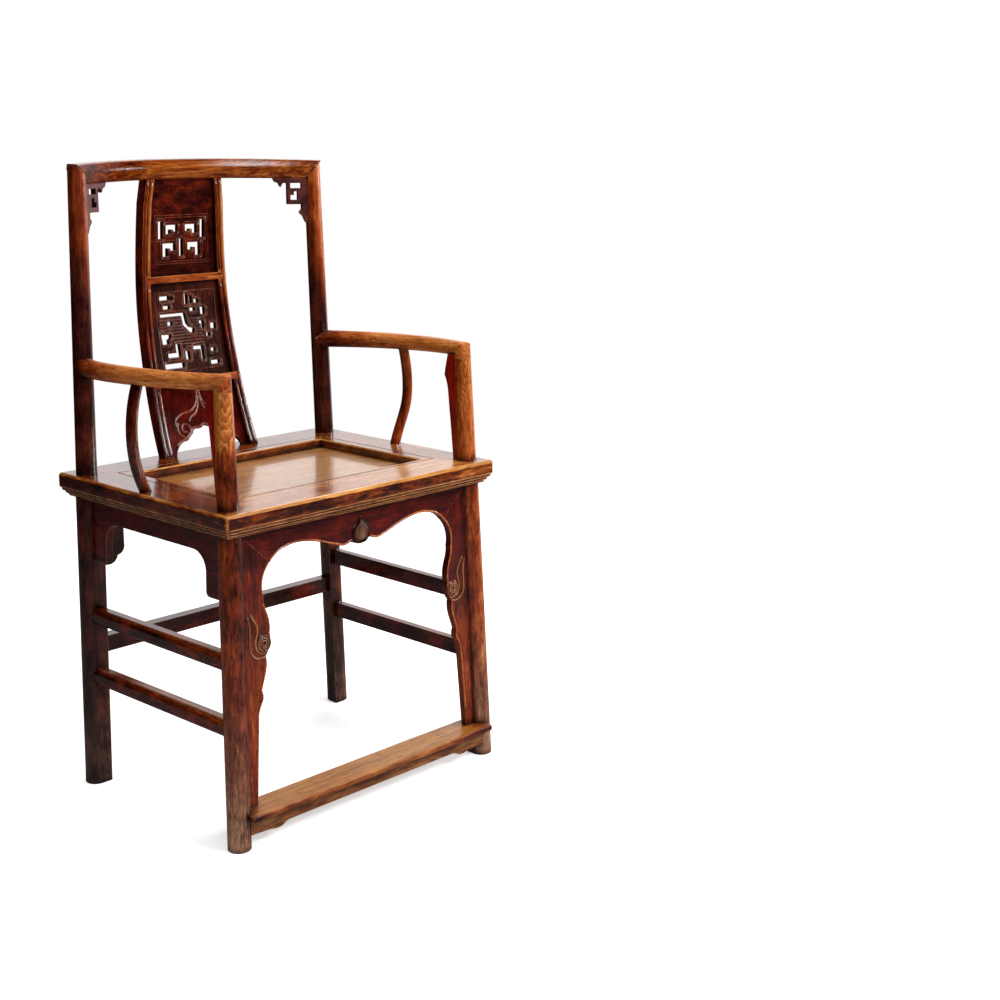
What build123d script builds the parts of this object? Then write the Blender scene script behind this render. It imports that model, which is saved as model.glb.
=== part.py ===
from build123d import *
import math
import os

os.makedirs("parts", exist_ok=True)

# Official's hat chair: a mitred hardwood seat frame carried by four legs that run on up
# through the frame as the arm posts and the back posts, joined by mortise and tenon.
# Millimetres, +Z up, the sitter faces -Y, the floor is z = 0.

# Seat
SEAT_WIDTH = 584.5
SEAT_DEPTH = 455.5
SEAT_TOP = 544
FRAME_UNDERSIDE = 504.5
OPENING_HALF_WIDTH = 205.5
OPENING_HALF_DEPTH = 132.5
PANEL_DROP = 15.5
BOARD_THICKNESS = 10
BOARD_TONGUE = 8
BOARD_REBATE = 3
BOARD_JOINT = 12
RIM_RADIUS = 3

# Legs and posts: plan position of each axis at the floor, at the seat and at its top
FRONT_FOOT = (276.8, -212.4)
FRONT_SEAT = (259.8, -192)
FRONT_TOP = (257.5, -184.5)
BACK_FOOT = (278, 183)
BACK_TOP = (247.5, 190)
LEG_RADIUS = 19
ARM_POST_RADIUS = (17, 13.5)
BACK_POST_RADIUS = (17.5, 14.8)
NECK_RADIUS = 13
MITRE_REACH = 20

# Crest rail: bowed back between the posts and rising slightly to its middle
CREST_AXIS_Z = 1033
CREST_SAG = 61
CREST_RISE = 4
CREST_HEIGHT = 34
CREST_BACK = 14

# Arms: back end on the back post, widest at the strut, front end on the arm post
ARM_RADIUS = (16, 14.2, 12.8)
ARM_BACK = (256, 187, 722)
ARM_MIDDLE = (287, -9, 731)
ARM_FRONT_Z = 738
CAP_FOOT_Z = 723
CORNER_ROUND = 16.8
STRUT_RADIUS = 9.2
STRUT_POINTS = [(285.5, -8, 722), (298.3, -5, 655), (297, -3, 620), (289, 1.5, 586), (270.5, 1.6, 538)]

# Splat: front-to-back centre line as (height, depth), its outer edge, and member sizes
SPLAT_CURVE = [(530, 191.5), (620, 224), (700, 243.6), (800, 258.5), (900, 260), (1030, 249.5)]
SPLAT_THICKNESS = 22
STILE_WIDTH = 16
SPLAT_FOOT_HALF = 101.5
SPLAT_SHOULDER_HALF = 84
SPLAT_SHOULDER_Z = 980
SPLAT_HEAD_HALF = 79
SPLAT_HEAD_Z = 1020
UPPER_RAIL = (841, 853)
LOWER_RAIL = (661, 673)
PANEL_THICKNESS = 8
PANEL_OFFSET = 1
PANEL_TONGUE = 3

# Aprons, stretchers and foot rail
APRON_THICKNESS = 12
FRONT_FACE_Y = (-214.5, -199)
SIDE_FACE_FLOOR_X = -283
MITRE_HEAD = (-250, 506)
MITRE_FOOT = (-191, 450.5)
LEAF_RELIEF = 2
STRETCHER_HEIGHT = 28
STRETCHER_DEPTH = 22
UPPER_STRETCHER_Z = 301
LOWER_STRETCHER_Z = 194
BACK_STRETCHER_Z = 244.5
FOOT_RAIL_TOP = 61.5
FOOT_RAIL_THICKNESS = 11
FOOT_RAIL_BACK = -186
FOOT_RAIL_FRONT = -245
FOOT_RAIL_HALF = 271

# Joinery
FIT = 0.1
TENON_THICKNESS = 10
TENON_DEPTH = 15
PIN_RADIUS = 5
PIN_LENGTH = 20
BRACKET_THICKNESS = 10

finished = {}


def keep(name, shape):
    """Store a finished piece under its name."""
    finished[name] = shape


def mirrored(shape):
    """The right-hand twin of a left-hand piece."""
    return mirror(shape, about=Plane.YZ)


def between(start, end, share):
    """Point on the line from start to end at the given share of its length."""
    return tuple(a + (b - a) * share for a, b in zip(start, end))


def box_between(low, high, grow=0.0):
    """Axis-aligned box from its low corner to its high corner, grown on every side."""
    size = [b - a + 2 * grow for a, b in zip(low, high)]
    centre = [(a + b) / 2 for a, b in zip(low, high)]
    return Pos(*centre) * Box(*size)


def half_space(point, normal, side=1200):
    """Block that fills everything on the normal's side of a plane."""
    block = Pos(0, 0, side / 2) * Box(side, side, side)
    return Plane(origin=point, z_dir=normal) * block


# ---------------------------------------------------------------- legs and posts

def front_axis(z):
    """Plan position of the left front leg's axis at a height."""
    x, y = between(FRONT_FOOT, FRONT_SEAT, z / SEAT_TOP)
    if z > SEAT_TOP:
        x, y = between(FRONT_SEAT, FRONT_TOP, (z - SEAT_TOP) / (ARM_FRONT_Z - SEAT_TOP))
    return -x, y


def back_axis(z):
    """Plan position of the left back leg's axis at a height."""
    x, y = between(BACK_FOOT, BACK_TOP, z / CREST_AXIS_Z)
    return -x, y


def leg_section(inner_y):
    """Round leg with a square corner towards the middle of the chair."""
    corner = Rectangle(LEG_RADIUS, LEG_RADIUS, align=(Align.MIN, Align.MIN))
    if inner_y < 0:
        corner = Rectangle(LEG_RADIUS, LEG_RADIUS, align=(Align.MIN, Align.MAX))
    return Circle(LEG_RADIUS) + corner


def slanted(section_low, section_high, axis, z_low, z_high):
    """Member between two level sections that follows a leaning axis."""
    low = Pos(*axis(z_low), z_low) * section_low
    high = Pos(*axis(z_high), z_high) * section_high
    return loft([low, high], ruled=True)


def leg_with_post(axis, inner_y, post_radius, post_top):
    """Leg below the seat, neck through the frame and round tapered post up past its corner joint."""
    section = leg_section(inner_y)
    leg = slanted(section, section, axis, 0, FRAME_UNDERSIDE)
    leg = chamfer(leg.faces().sort_by(Axis.Z)[0].edges(), 1.5)
    neck = slanted(Circle(NECK_RADIUS), Circle(NECK_RADIUS), axis, FRAME_UNDERSIDE, SEAT_TOP)
    post = slanted(Circle(post_radius[0]), Circle(post_radius[1]), axis, SEAT_TOP, post_top + MITRE_REACH)
    return leg + neck + post


def neck_hole(axis):
    """Hole in the seat frame for the neck of a leg."""
    hole = Circle(NECK_RADIUS + FIT / 2)
    return slanted(hole, hole, axis, FRAME_UNDERSIDE - 1, SEAT_TOP + 1)


# ---------------------------------------------------------------- crest rail

def crest_plane():
    """Plane of the crest rail's bow, tilted so that its middle stands higher."""
    tilt = math.asin(CREST_RISE / CREST_SAG)
    normal = (0, -math.sin(tilt), math.cos(tilt))
    return Plane(origin=(0, BACK_TOP[1], CREST_AXIS_Z), x_dir=(1, 0, 0), z_dir=normal)


CREST_RADIUS = (BACK_TOP[0] ** 2 + CREST_SAG ** 2) / (2 * CREST_SAG)
CREST_HALF_ANGLE = math.asin(BACK_TOP[0] / CREST_RADIUS)
CREST_OUTLINE_STEPS = 48


def crest_raw():
    """Bowed rail whose front has a ridge between two facets."""
    top = CREST_HEIGHT / 2
    outline = Polyline(
        (-8, top),
        (-14.5, 5),
        (-11.5, -top + 3.5),
        (-7.5, -top),
        (8, -top),
        (CREST_BACK, -7),
        (CREST_BACK, 7),
        (8, top),
        close=True,
    )
    rounded = fillet(make_face(outline).vertices(), 2.5).wire()
    smooth = Spline([rounded @ (step / CREST_OUTLINE_STEPS) for step in range(CREST_OUTLINE_STEPS)], periodic=True)
    section = make_face(smooth)
    plane = crest_plane()
    centre = plane.from_local_coords((0, CREST_SAG - CREST_RADIUS, 0))
    end_angle = CREST_HALF_ANGLE + 0.05
    outward = plane.from_local_coords((-math.sin(end_angle), math.cos(end_angle), 0)) - plane.origin
    start = Plane(origin=centre + outward * CREST_RADIUS, x_dir=outward, z_dir=outward.cross(plane.z_dir))
    return revolve(start * section, Axis(centre, -plane.z_dir), math.degrees(2 * end_angle))


def crest_mitre():
    """Corner point and normal of the left mitre between back post and crest rail."""
    corner = (-BACK_TOP[0], BACK_TOP[1], CREST_AXIS_Z)
    normal = (math.cos(CREST_HALF_ANGLE), math.sin(CREST_HALF_ANGLE), 1)
    return corner, normal


def crest_tenon(grow=0.0):
    """Square tenon that stands up from the left back post into the crest rail."""
    x, y = -BACK_TOP[0], BACK_TOP[1]
    half = TENON_THICKNESS / 2
    return box_between((x - half, y - half, CREST_AXIS_Z - 14), (x + half, y + half, CREST_AXIS_Z + 9), grow)


# ---------------------------------------------------------------- arms

def arm_raw():
    """Left arm: a round rod along one arc, bowed out from back post to arm post."""
    back = (-ARM_BACK[0], ARM_BACK[1], ARM_BACK[2])
    middle = (-ARM_MIDDLE[0], ARM_MIDDLE[1], ARM_MIDDLE[2])
    front = (*front_axis(ARM_FRONT_Z), ARM_FRONT_Z)
    path = ThreePointArc(back, middle, front)
    beyond = Line(path @ 1, path @ 1 + (path % 1) * 30)
    stations = zip((0, 0.5, 1), ARM_RADIUS)
    sections = [Plane(path @ t, z_dir=path % t) * Circle(radius) for t, radius in stations]
    rod = sweep(sections, path, multisection=True)
    nose = sweep(Plane(beyond @ 0, z_dir=beyond % 0) * Circle(ARM_RADIUS[2]), beyond)
    return rod + nose, path


def arm_elbow(post, path):
    """Turned-down front end of the left arm, which caps the arm post at a level seam."""
    corner = path @ 1
    backward = -(path % 1)
    level_seam = (0, 0, CAP_FOOT_Z), (0, 0, 1)
    cap = (post & half_space(*level_seam)) - half_space(corner, backward + Vector(0, 0, 1))
    beyond_corner = half_space(corner, -backward, 100) & half_space(corner, (0, 0, 1), 100)
    return cap, beyond_corner - Pos(*corner) * Sphere(CORNER_ROUND)


def arm_front_tenon(grow=0.0):
    """Square tenon that stands up from the left arm post into the arm."""
    x, y = front_axis(ARM_FRONT_Z)
    half = 4
    return box_between((x - half, y - half, CAP_FOOT_Z - 4), (x + half, y + half, CAP_FOOT_Z + 14), grow)


def arm_back_tenon(grow=0.0):
    """Round tenon of the left arm's back end in the back post."""
    start = Vector(-ARM_BACK[0], ARM_BACK[1] - 28, ARM_BACK[2])
    rod = Cylinder(6 + grow, 30 + 2 * grow, rotation=(90, 0, 0))
    return Pos(start.X + 0.6, start.Y + 15, start.Z) * rod


def strut_raw():
    """Left arm strut: a round rod that bellies outward, on one spline."""
    points = [(-x, y, z) for x, y, z in STRUT_POINTS]
    path = Spline(points)
    return sweep(Plane(path @ 0, z_dir=path % 0) * Circle(STRUT_RADIUS), path)


def strut_pin(end, grow=0.0):
    """Round pin at the top or the foot of the left strut."""
    x, y, z = STRUT_POINTS[0] if end == "top" else STRUT_POINTS[-1]
    return Pos(-x, y, z) * Cylinder(PIN_RADIUS + grow, PIN_LENGTH + 2 * grow)


def arm_bracket_raw():
    """Left bracket behind the arm post: cusped under the arm and tapering to the seat."""
    x, y = front_axis(640)
    back = y + ARM_POST_RADIUS[1]
    head = Spline((back + 21, 727), (back + 25, 710), (back + 29, 690))
    tail = Spline(head @ 1, (back + 22, 672), (back + 19, 650), (back + 13.5, 600), (back + 8, SEAT_TOP))
    outline = head + tail + Polyline(head @ 0, (y, 727), (y, SEAT_TOP), tail @ 1)
    face = Plane(origin=(x + 1.5, 0, 0), x_dir=(0, 1, 0), z_dir=(1, 0, 0)) * make_face(outline)
    return extrude(face, BRACKET_THICKNESS / 2, both=True)


# ---------------------------------------------------------------- splat

def splat_band(front, back):
    """Curved slab as wide as the splat, between two depths off its centre line."""
    front_line = Spline([(y + front, z) for z, y in SPLAT_CURVE])
    back_line = Spline([(y + back, z) for z, y in SPLAT_CURVE])
    foot = Line(front_line @ 0, back_line @ 0)
    head = Line(front_line @ 1, back_line @ 1)
    face = Plane.YZ * make_face(front_line + back_line + foot + head)
    return extrude(face, 130, both=True)


def splat_prism(face):
    """Front-view face, drawn in x and z, run through the whole depth of the splat."""
    plane = Plane(origin=(0, 150, 0), x_dir=(1, 0, 0), z_dir=(0, -1, 0))
    return extrude(plane * face, -150)


def outer_half(z):
    """Half width of the splat at a height."""
    if z > SPLAT_SHOULDER_Z:
        share = (z - SPLAT_SHOULDER_Z) / (SPLAT_HEAD_Z - SPLAT_SHOULDER_Z)
        return SPLAT_SHOULDER_HALF + (SPLAT_HEAD_HALF - SPLAT_SHOULDER_HALF) * share
    share = (z - SEAT_TOP) / (SPLAT_SHOULDER_Z - SEAT_TOP)
    return SPLAT_FOOT_HALF + (SPLAT_SHOULDER_HALF - SPLAT_FOOT_HALF) * share


def edge_heights(z_low, z_high):
    """Heights at which the splat's outer edge ends or turns."""
    if z_low < SPLAT_SHOULDER_Z < z_high:
        return [z_low, SPLAT_SHOULDER_Z, z_high]
    return [z_low, z_high]


def splat_strip(z_low, z_high, inset_outer, inset_inner):
    """Left-hand front-view strip between two insets from the splat's outer edge."""
    heights = edge_heights(z_low, z_high)
    outer = [(-outer_half(z) + inset_outer, z) for z in heights]
    inner = [(-outer_half(z) + inset_inner, z) for z in reversed(heights)]
    return make_face(Polyline(*outer, *inner, close=True))


def splat_field(z_low, z_high, grow):
    """Front-view field between the stiles, grown past the stiles' inner edges."""
    heights = edge_heights(z_low, z_high)
    left = [(-outer_half(z) + STILE_WIDTH - grow, z) for z in heights]
    right = [(-x, z) for x, z in reversed(left)]
    return make_face(Polyline(*left, *right, close=True))


def rect(x_low, z_low, x_high, z_high):
    """Upright rectangle in the front view."""
    return Pos((x_low + x_high) / 2, (z_low + z_high) / 2) * Rectangle(x_high - x_low, z_high - z_low)


def side_rect(side, inner, low, outer, high):
    """Rectangle on one side of the splat's centre line, from its inner to its outer edge."""
    return rect(min(side * inner, side * outer), low, max(side * inner, side * outer), high)


def fret_openings():
    """Openings of the key-fret panel: slots and four hooked scrolls."""
    cuts = rect(-49, 917, -39.5, 947) + rect(40, 917, 49.5, 948) + rect(-5, 886, 3, 916)
    for side in (-1, 1):
        upper = side_rect(side, 8, 925, 33, 940.5) - side_rect(side, 17, 925, 23, 932.5)
        upper -= side_rect(side, 8, 925, 17, 929)
        lower = side_rect(side, 13, 886, 40, 908.7) - side_rect(side, 24, 886, 29.5, 900)
        lower -= side_rect(side, 13, 886, 24, 896)
        cuts += upper + lower
    return cuts


def dragon_openings():
    """Openings of the dragon panel: fretwork gaps round a body that winds across it."""
    slots = [
        (-52, 810, -31, 817),
        (-46, 794, -31, 800),
        (-30, 809, -24.5, 816),
        (0.5, 800, 7.5, 818),
        (11, 801, 17, 815),
        (21, 801, 30.5, 808),
        (10.5, 787, 22, 793),
        (33, 780, 43, 793),
        (-54, 780.5, -8, 785.5),
        (-40, 765, -29.5, 772),
        (28, 764, 38, 769),
        (31.5, 756, 38, 764),
        (52, 753, 64, 763),
        (41, 740, 48.5, 747),
        (-29, 709, -20, 732),
        (-47, 709, -29, 717),
        (-10, 703, -1, 718),
        (8, 719, 30, 725.5),
        (23.5, 700, 30, 719),
        (46, 713, 56.5, 719),
        (42, 690, 61.5, 697),
    ]
    cuts = rect(-57, 690, -16, 699)
    for slot in slots:
        cuts += rect(*slot)
    back_gap = [(-10, 785.5), (-0.5, 785.5), (3, 766), (8, 759), (17, 756), (15, 748), (6, 751), (-7, 764)]
    tail_gap = [(-56, 755), (-51, 750), (-35.5, 750), (-36, 743), (-41.5, 740), (-41.5, 733), (-55, 733)]
    for gap in (back_gap, tail_gap):
        cuts += make_face(Polyline(*gap, close=True))
    return cuts


def cloud_opening():
    """Cloud-headed arch under the foot panel."""
    half = [
        Line((-72, 520), (-72, 545)),
        ThreePointArc((-72, 545), (-63, 558), (-49, 565.5)),
        ThreePointArc((-49, 565.5), (-43, 566), (-39, 568)),
        ThreePointArc((-39, 568), (-35, 573.5), (-28, 576)),
        ThreePointArc((-28, 576), (-24, 582), (-16, 583.5)),
        ThreePointArc((-16, 583.5), (-7, 584.5), (0, 589)),
    ]
    left = Curve() + half
    right = mirror(left, about=Plane.YZ)
    return make_face(left + right + Line((-72, 520), (72, 520)))


def splat_panel(z_low, z_high, openings):
    """Thin board in the grooves of the stiles and cross rails."""
    slab = splat_band(PANEL_OFFSET - PANEL_THICKNESS / 2, PANEL_OFFSET + PANEL_THICKNESS / 2)
    field = splat_field(z_low, z_high, PANEL_TONGUE)
    return slab & splat_prism(field - openings)


def splat_groove(z_low, z_high):
    """Room for the panels' tongues over one stretch of the stiles or the cross rails."""
    half = PANEL_THICKNESS / 2 + FIT
    slab = splat_band(PANEL_OFFSET - half, PANEL_OFFSET + half)
    return slab & splat_prism(splat_field(z_low, z_high, PANEL_TONGUE + FIT))


def stile():
    """Left stile with a reeded front, open grooves and laps for the cross rails."""
    half = SPLAT_THICKNESS / 2
    body = splat_band(-half, half) & splat_prism(splat_strip(SEAT_TOP, SPLAT_HEAD_Z + 12, 0, STILE_WIDTH))
    quirk = splat_strip(SEAT_TOP - 1, SPLAT_HEAD_Z + 14, 7, 9.5)
    body -= splat_band(-half - 1, -half + 2) & splat_prism(quirk)
    for low, high in (UPPER_RAIL, LOWER_RAIL):
        lap = splat_strip(low - FIT, high + FIT, 4 - FIT, STILE_WIDTH + 1)
        body -= splat_band(-half - 1, -half + 5 + FIT) & splat_prism(lap)
    return body - splat_groove(SEAT_TOP - 8, SPLAT_HEAD_Z + 6)


def stile_tenon(z_low, z_high, grow=0.0):
    """Tenon at the head or the foot of the left stile."""
    half = TENON_THICKNESS / 2 + grow
    strip = splat_strip(z_low - grow, z_high + grow, 3 - grow, STILE_WIDTH - 4 + grow)
    return splat_band(-half, half) & splat_prism(strip)


def cross_rail(z_range):
    """Cross rail of the splat, lapped over the fronts of both stiles."""
    low, high = z_range
    half = SPLAT_THICKNESS / 2
    body = splat_band(-half, half) & splat_prism(splat_field(low, high, 0))
    lap = splat_band(-half, -half + 5) & splat_prism(splat_field(low, high, STILE_WIDTH - 4))
    depth = PANEL_TONGUE + FIT
    return body + lap - splat_groove(low - 1, low + depth) - splat_groove(high - depth, high + 1)


# ---------------------------------------------------------------- crest brackets

def crest_bracket_raw():
    """Left corner bracket under the crest rail: a squared scroll with cusped arms."""
    under = CREST_AXIS_Z + 3
    outline = Polyline(
        (-12, under),
        (59, under),
        (59, 1016),
        (56, 1011),
        (50, 1009),
        (46, 1002),
        (42, 1009),
        (34, 1009),
        (34, 971),
        (7, 971),
        (7, 962),
        (12, 956),
        (5, 949),
        (0, 938),
        (-12, 938),
        close=True,
    )
    face = make_face(outline) - rect(7, 1000, 28, 1009)
    scroll = rect(14, 979, 28, 994) - rect(21.5, 987.5, 28, 994)
    face -= scroll
    heading = Vector(math.cos(math.radians(25)), math.sin(math.radians(25)), 0)
    origin = (-BACK_TOP[0] + 14.5, BACK_TOP[1] + 4, 0)
    plane = Plane(origin=origin, x_dir=heading, z_dir=heading.cross(Vector(0, 0, 1)))
    return extrude(plane * face, BRACKET_THICKNESS / 2, both=True)


# ---------------------------------------------------------------- seat

def seat_layer(inset, drop_top, drop_low, corner, top, bottom):
    """One level of the seat frame's thumb-moulded edge, placed by its drops below the seat's top."""
    slab = Box(SEAT_WIDTH - 2 * inset, SEAT_DEPTH - 2 * inset, drop_low - drop_top)
    slab = fillet(slab.edges().filter_by(Axis.Z), corner)
    slab = fillet(slab.faces().sort_by(Axis.Z)[-1].edges(), top)
    slab = fillet(slab.faces().sort_by(Axis.Z)[0].edges(), bottom)
    return Pos(0, 0, SEAT_TOP - (drop_top + drop_low) / 2) * slab


def ring(half_width, half_depth, width, z_low, z_high, front_half_depth=None):
    """Rectangular ring, measured to its inner edge."""
    front = front_half_depth or half_depth
    outer = box_between(
        (-half_width - width, -front - width, z_low), (half_width + width, half_depth + width, z_high)
    )
    inner = box_between((-half_width, -front, z_low - 1), (half_width, half_depth, z_high + 1))
    return outer - inner


def seat_ring():
    """Whole seat frame before it is parted at the mitres."""
    frame = seat_layer(0, 0, 24, 6, 5.8, 3)
    frame += seat_layer(3, 21, 29.5, 5, 1, 3)
    frame += seat_layer(7.5, 27.5, 35, 4, 2.5, 2.5)
    frame += seat_layer(11.5, 33, SEAT_TOP - FRAME_UNDERSIDE, 3.5, 2.5, 2.5)
    opening = box_between(
        (-OPENING_HALF_WIDTH, -OPENING_HALF_DEPTH, FRAME_UNDERSIDE - 1),
        (OPENING_HALF_WIDTH, OPENING_HALF_DEPTH, SEAT_TOP + 1),
    )
    frame -= opening
    frame -= ring(OPENING_HALF_WIDTH + 18, OPENING_HALF_DEPTH + 17, 2.5, SEAT_TOP - 1.2, SEAT_TOP + 1,
                  OPENING_HALF_DEPTH + 10)
    board_top = SEAT_TOP - PANEL_DROP
    groove = box_between(
        (-OPENING_HALF_WIDTH - BOARD_TONGUE, -OPENING_HALF_DEPTH - BOARD_TONGUE, board_top - BOARD_THICKNESS),
        (OPENING_HALF_WIDTH + BOARD_TONGUE, OPENING_HALF_DEPTH + BOARD_TONGUE, board_top - BOARD_REBATE),
        FIT,
    )
    return frame - groove


def eased_rim(member):
    """A seat member with its top edge rounded along the opening."""
    top_edges = [edge for edge in member.edges() if abs(edge.center().Z - SEAT_TOP) < 0.01 and edge.length > 200]

    def nearness(edge):
        return math.hypot(edge.center().X / OPENING_HALF_WIDTH, edge.center().Y / OPENING_HALF_DEPTH)

    return fillet(min(top_edges, key=nearness), RIM_RADIUS)


def mitre_wedge():
    """Plan triangle of the front seat member, between the two mitre lines."""
    slope = (SEAT_DEPTH / 2 - OPENING_HALF_DEPTH) / (SEAT_WIDTH / 2 - OPENING_HALF_WIDTH)
    outer_x = SEAT_WIDTH / 2 + 10
    outer_y = SEAT_DEPTH / 2 + 10 * slope
    inner_x = OPENING_HALF_WIDTH - 20
    inner_y = OPENING_HALF_DEPTH - 20 * slope
    corners = [(-outer_x, -outer_y), (outer_x, -outer_y), (inner_x, -inner_y), (-inner_x, -inner_y)]
    face = make_face(Polyline(*corners, close=True))
    return Pos(0, 0, FRAME_UNDERSIDE - 5) * extrude(face, 60)


def corner_tongue(grow=0.0):
    """Tongue of the back left corner's side member across the mitre into the long member."""
    z = FRAME_UNDERSIDE + 4
    return box_between((-238, OPENING_HALF_DEPTH + 8, z), (-218, OPENING_HALF_DEPTH + 32, z + 8), grow)


def seat_board(y_low, y_high):
    """One board of the recessed seat, its outer edges housed in the frame's grooves."""
    half = OPENING_HALF_WIDTH + BOARD_TONGUE
    top = SEAT_TOP - PANEL_DROP
    tongued = box_between((-half, y_low, top - BOARD_THICKNESS), (half, y_high, top - BOARD_REBATE))
    half = OPENING_HALF_WIDTH - FIT
    front = max(y_low, FIT - OPENING_HALF_DEPTH)
    back = min(y_high, OPENING_HALF_DEPTH - FIT)
    return tongued + box_between((-half, front, top - BOARD_REBATE - 1), (half, back, top))


def batten(grow=0.0):
    """Left batten under the boards, tenoned into the front and back of the frame."""
    top = SEAT_TOP - PANEL_DROP - BOARD_THICKNESS
    reach = OPENING_HALF_DEPTH
    body = box_between((-115, -reach, top - 13), (-85, reach, top))
    tenon = box_between((-110, -reach - 12, top - 11), (-90, reach + 12, top - 3), grow)
    return tenon if grow else body + tenon


# ---------------------------------------------------------------- aprons

def front_plane():
    """Tilted plane of the front apron's face, which leans back with the front legs."""
    floor_y, seat_y = FRONT_FACE_Y
    normal = Vector(0, -1, (seat_y - floor_y) / SEAT_TOP)
    return Plane(origin=(0, floor_y, 0), x_dir=(1, 0, 0), z_dir=normal)


def arch_points():
    """Left half of the front apron's lower edge, from the mitre to the middle lobe."""
    return [
        ThreePointArc((-191, 450.5), (-177, 462), (-157, 469)),
        Spline((-157, 469), (-135, 471.5), (-110, 468.5), (-85, 462), (-62, 454), (-50, 450.5)),
        ThreePointArc((-50, 450.5), (-35, 447.5), (-24, 450.5)),
        ThreePointArc((-24, 450.5), (-18, 451.5), (-14, 447.5)),
        ThreePointArc((-14, 447.5), (-7, 445), (0, 444.5)),
    ]


def front_apron():
    """Ogee-arched apron under the front of the seat, mitred to the side strips."""
    left = Curve() + [Line(MITRE_HEAD, MITRE_FOOT)] + arch_points()
    right = mirror(left, about=Plane.YZ)
    top = Line(MITRE_HEAD, (-MITRE_HEAD[0], MITRE_HEAD[1]))
    face = make_face(left + right + top)
    plane = front_plane()
    body = extrude(plane * face, -APRON_THICKNESS)
    leaf_edge = [(0, 490), (5, 483), (17, 472), (18, 461), (13, 450), (0, 446)]
    leaf_edge += [(-x, z) for x, z in reversed(leaf_edge[1:-1])]
    leaf = make_face(Spline(leaf_edge, periodic=True))
    return body + extrude(plane * leaf, LEAF_RELIEF)


def strip_edge():
    """Inner edge of the left strip, from the mitre down past the volute to the foot rail."""
    return [
        ThreePointArc((-191, 450.5), (-207, 425), (-207, 400)),
        Spline((-207, 400), (-204.5, 380), (-199, 364), (-197, 352), (-198, 338)),
        ThreePointArc((-198, 338), (-197.5, 322), (-204, 307)),
        Line((-204, 307), (-207.5, 302)),
        Spline((-207.5, 302), (-206.5, 288), (-209, 275), (-215, 258), (-218.5, 247)),
        ThreePointArc((-218.5, 247), (-216, 237), (-219.5, 227)),
        ThreePointArc((-219.5, 227), (-223.5, 220), (-226.5, 210)),
        Spline((-226.5, 210), (-229.5, 170), (-235.5, 90), (-239, 40)),
    ]


def front_strip_raw():
    """Left upright strip beside the front leg, scrolled halfway up its inner edge."""
    edge = Curve() + strip_edge()
    outer = Polyline((-239, 40), (-262, 40), (-262, 515), MITRE_HEAD, MITRE_FOOT)
    plane = front_plane()
    return extrude(plane * make_face(edge + outer), -APRON_THICKNESS)


def strip_housing(grow):
    """Groove for the outer edge of the left strip in the front leg."""
    plane = front_plane()
    low_z = FOOT_RAIL_TOP - grow
    face = make_face(Polyline((-270, low_z), (-225, low_z), (-225, 502), (-270, 502), close=True))
    slab = extrude(plane * face, -APRON_THICKNESS - grow)
    slab += extrude(plane * face, grow)
    return slab


def side_plane():
    """Tilted plane of the left side apron's face, drawn forward and up, which follows the legs' lean."""
    lean = (FRONT_FOOT[0] - FRONT_SEAT[0]) / SEAT_TOP
    normal = Vector(-1, 0, lean).normalized()
    return Plane(origin=(SIDE_FACE_FLOOR_X, 0, 0), x_dir=(0, -1, 0), z_dir=normal)


def side_bracket(shoulder, edge, leg):
    """Curved bracket below the side strip, from its shoulder round to the leg."""
    step = math.copysign(1, edge)
    outline = [
        ThreePointArc((shoulder, 470), (edge - step * 9, 460), (edge, 437)),
        Line((edge, 437), (edge, 408)),
        ThreePointArc((edge, 408), (edge + step * 3, 402), (edge + step * 9, 400)),
        Polyline((edge + step * 9, 400), (leg, 400), (leg, 490), (shoulder, 490), (shoulder, 470)),
    ]
    return make_face(Curve() + outline)


def side_apron_raw():
    """Left side apron: a straight strip with a curved bracket at each leg."""
    face = rect(-200, 470, 205, 510)
    face += side_bracket(110, 142, 205)
    face += side_bracket(-96, -128, -200)
    return extrude(side_plane() * face, -APRON_THICKNESS)


def back_apron_raw():
    """Back apron: a straight strip with a lobed bracket at each leg."""
    half = [
        Line((0, 472), (-176, 472)),
        ThreePointArc((-176, 472), (-193, 462), (-200, 442)),
        Line((-200, 442), (-200, 412)),
        ThreePointArc((-200, 412), (-203, 400), (-214, 394)),
        ThreePointArc((-214, 394), (-222, 383), (-236, 381)),
        Polyline((-236, 381), (-270, 381), (-270, 510), (0, 510)),
    ]
    left = Curve() + half
    face = make_face(left + mirror(left, about=Plane.YZ))
    plane = Plane(origin=(0, back_axis(440)[1] + APRON_THICKNESS / 2, 0), x_dir=(1, 0, 0), z_dir=(0, -1, 0))
    return extrude(plane * face, APRON_THICKNESS)


# ---------------------------------------------------------------- stretchers

def side_stretcher_raw(z):
    """Left side stretcher between the leg axes: rounded outside, flat inside."""
    front = Vector(*front_axis(z), z)
    back = Vector(*back_axis(z), z)
    along = (back - front).normalized()
    section = Rectangle(STRETCHER_DEPTH, STRETCHER_HEIGHT)
    outer = section.vertices().group_by(Axis.X)[0]
    section = fillet(outer, 10)
    plane = Plane(origin=front, x_dir=along.cross(Vector(0, 0, 1)), z_dir=along)
    return extrude(plane * section, (back - front).length)


def side_tenons(z, grow=0.0):
    """Tenons of the left side stretcher in both legs."""
    front_x, front_y = front_axis(z)
    back_x, back_y = back_axis(z)
    half = TENON_THICKNESS / 2
    tall = STRETCHER_HEIGHT / 2 - 4
    front_end = front_y + LEG_RADIUS - TENON_DEPTH
    back_end = back_y - LEG_RADIUS + TENON_DEPTH
    front_low = (front_x - half, front_end, z - tall)
    front = box_between(front_low, (front_x + half, front_end + 25, z + tall), grow)
    back_high = (back_x + half, back_end, z + tall)
    return front + box_between((back_x - half, back_end - 25, z - tall), back_high, grow)


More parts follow.
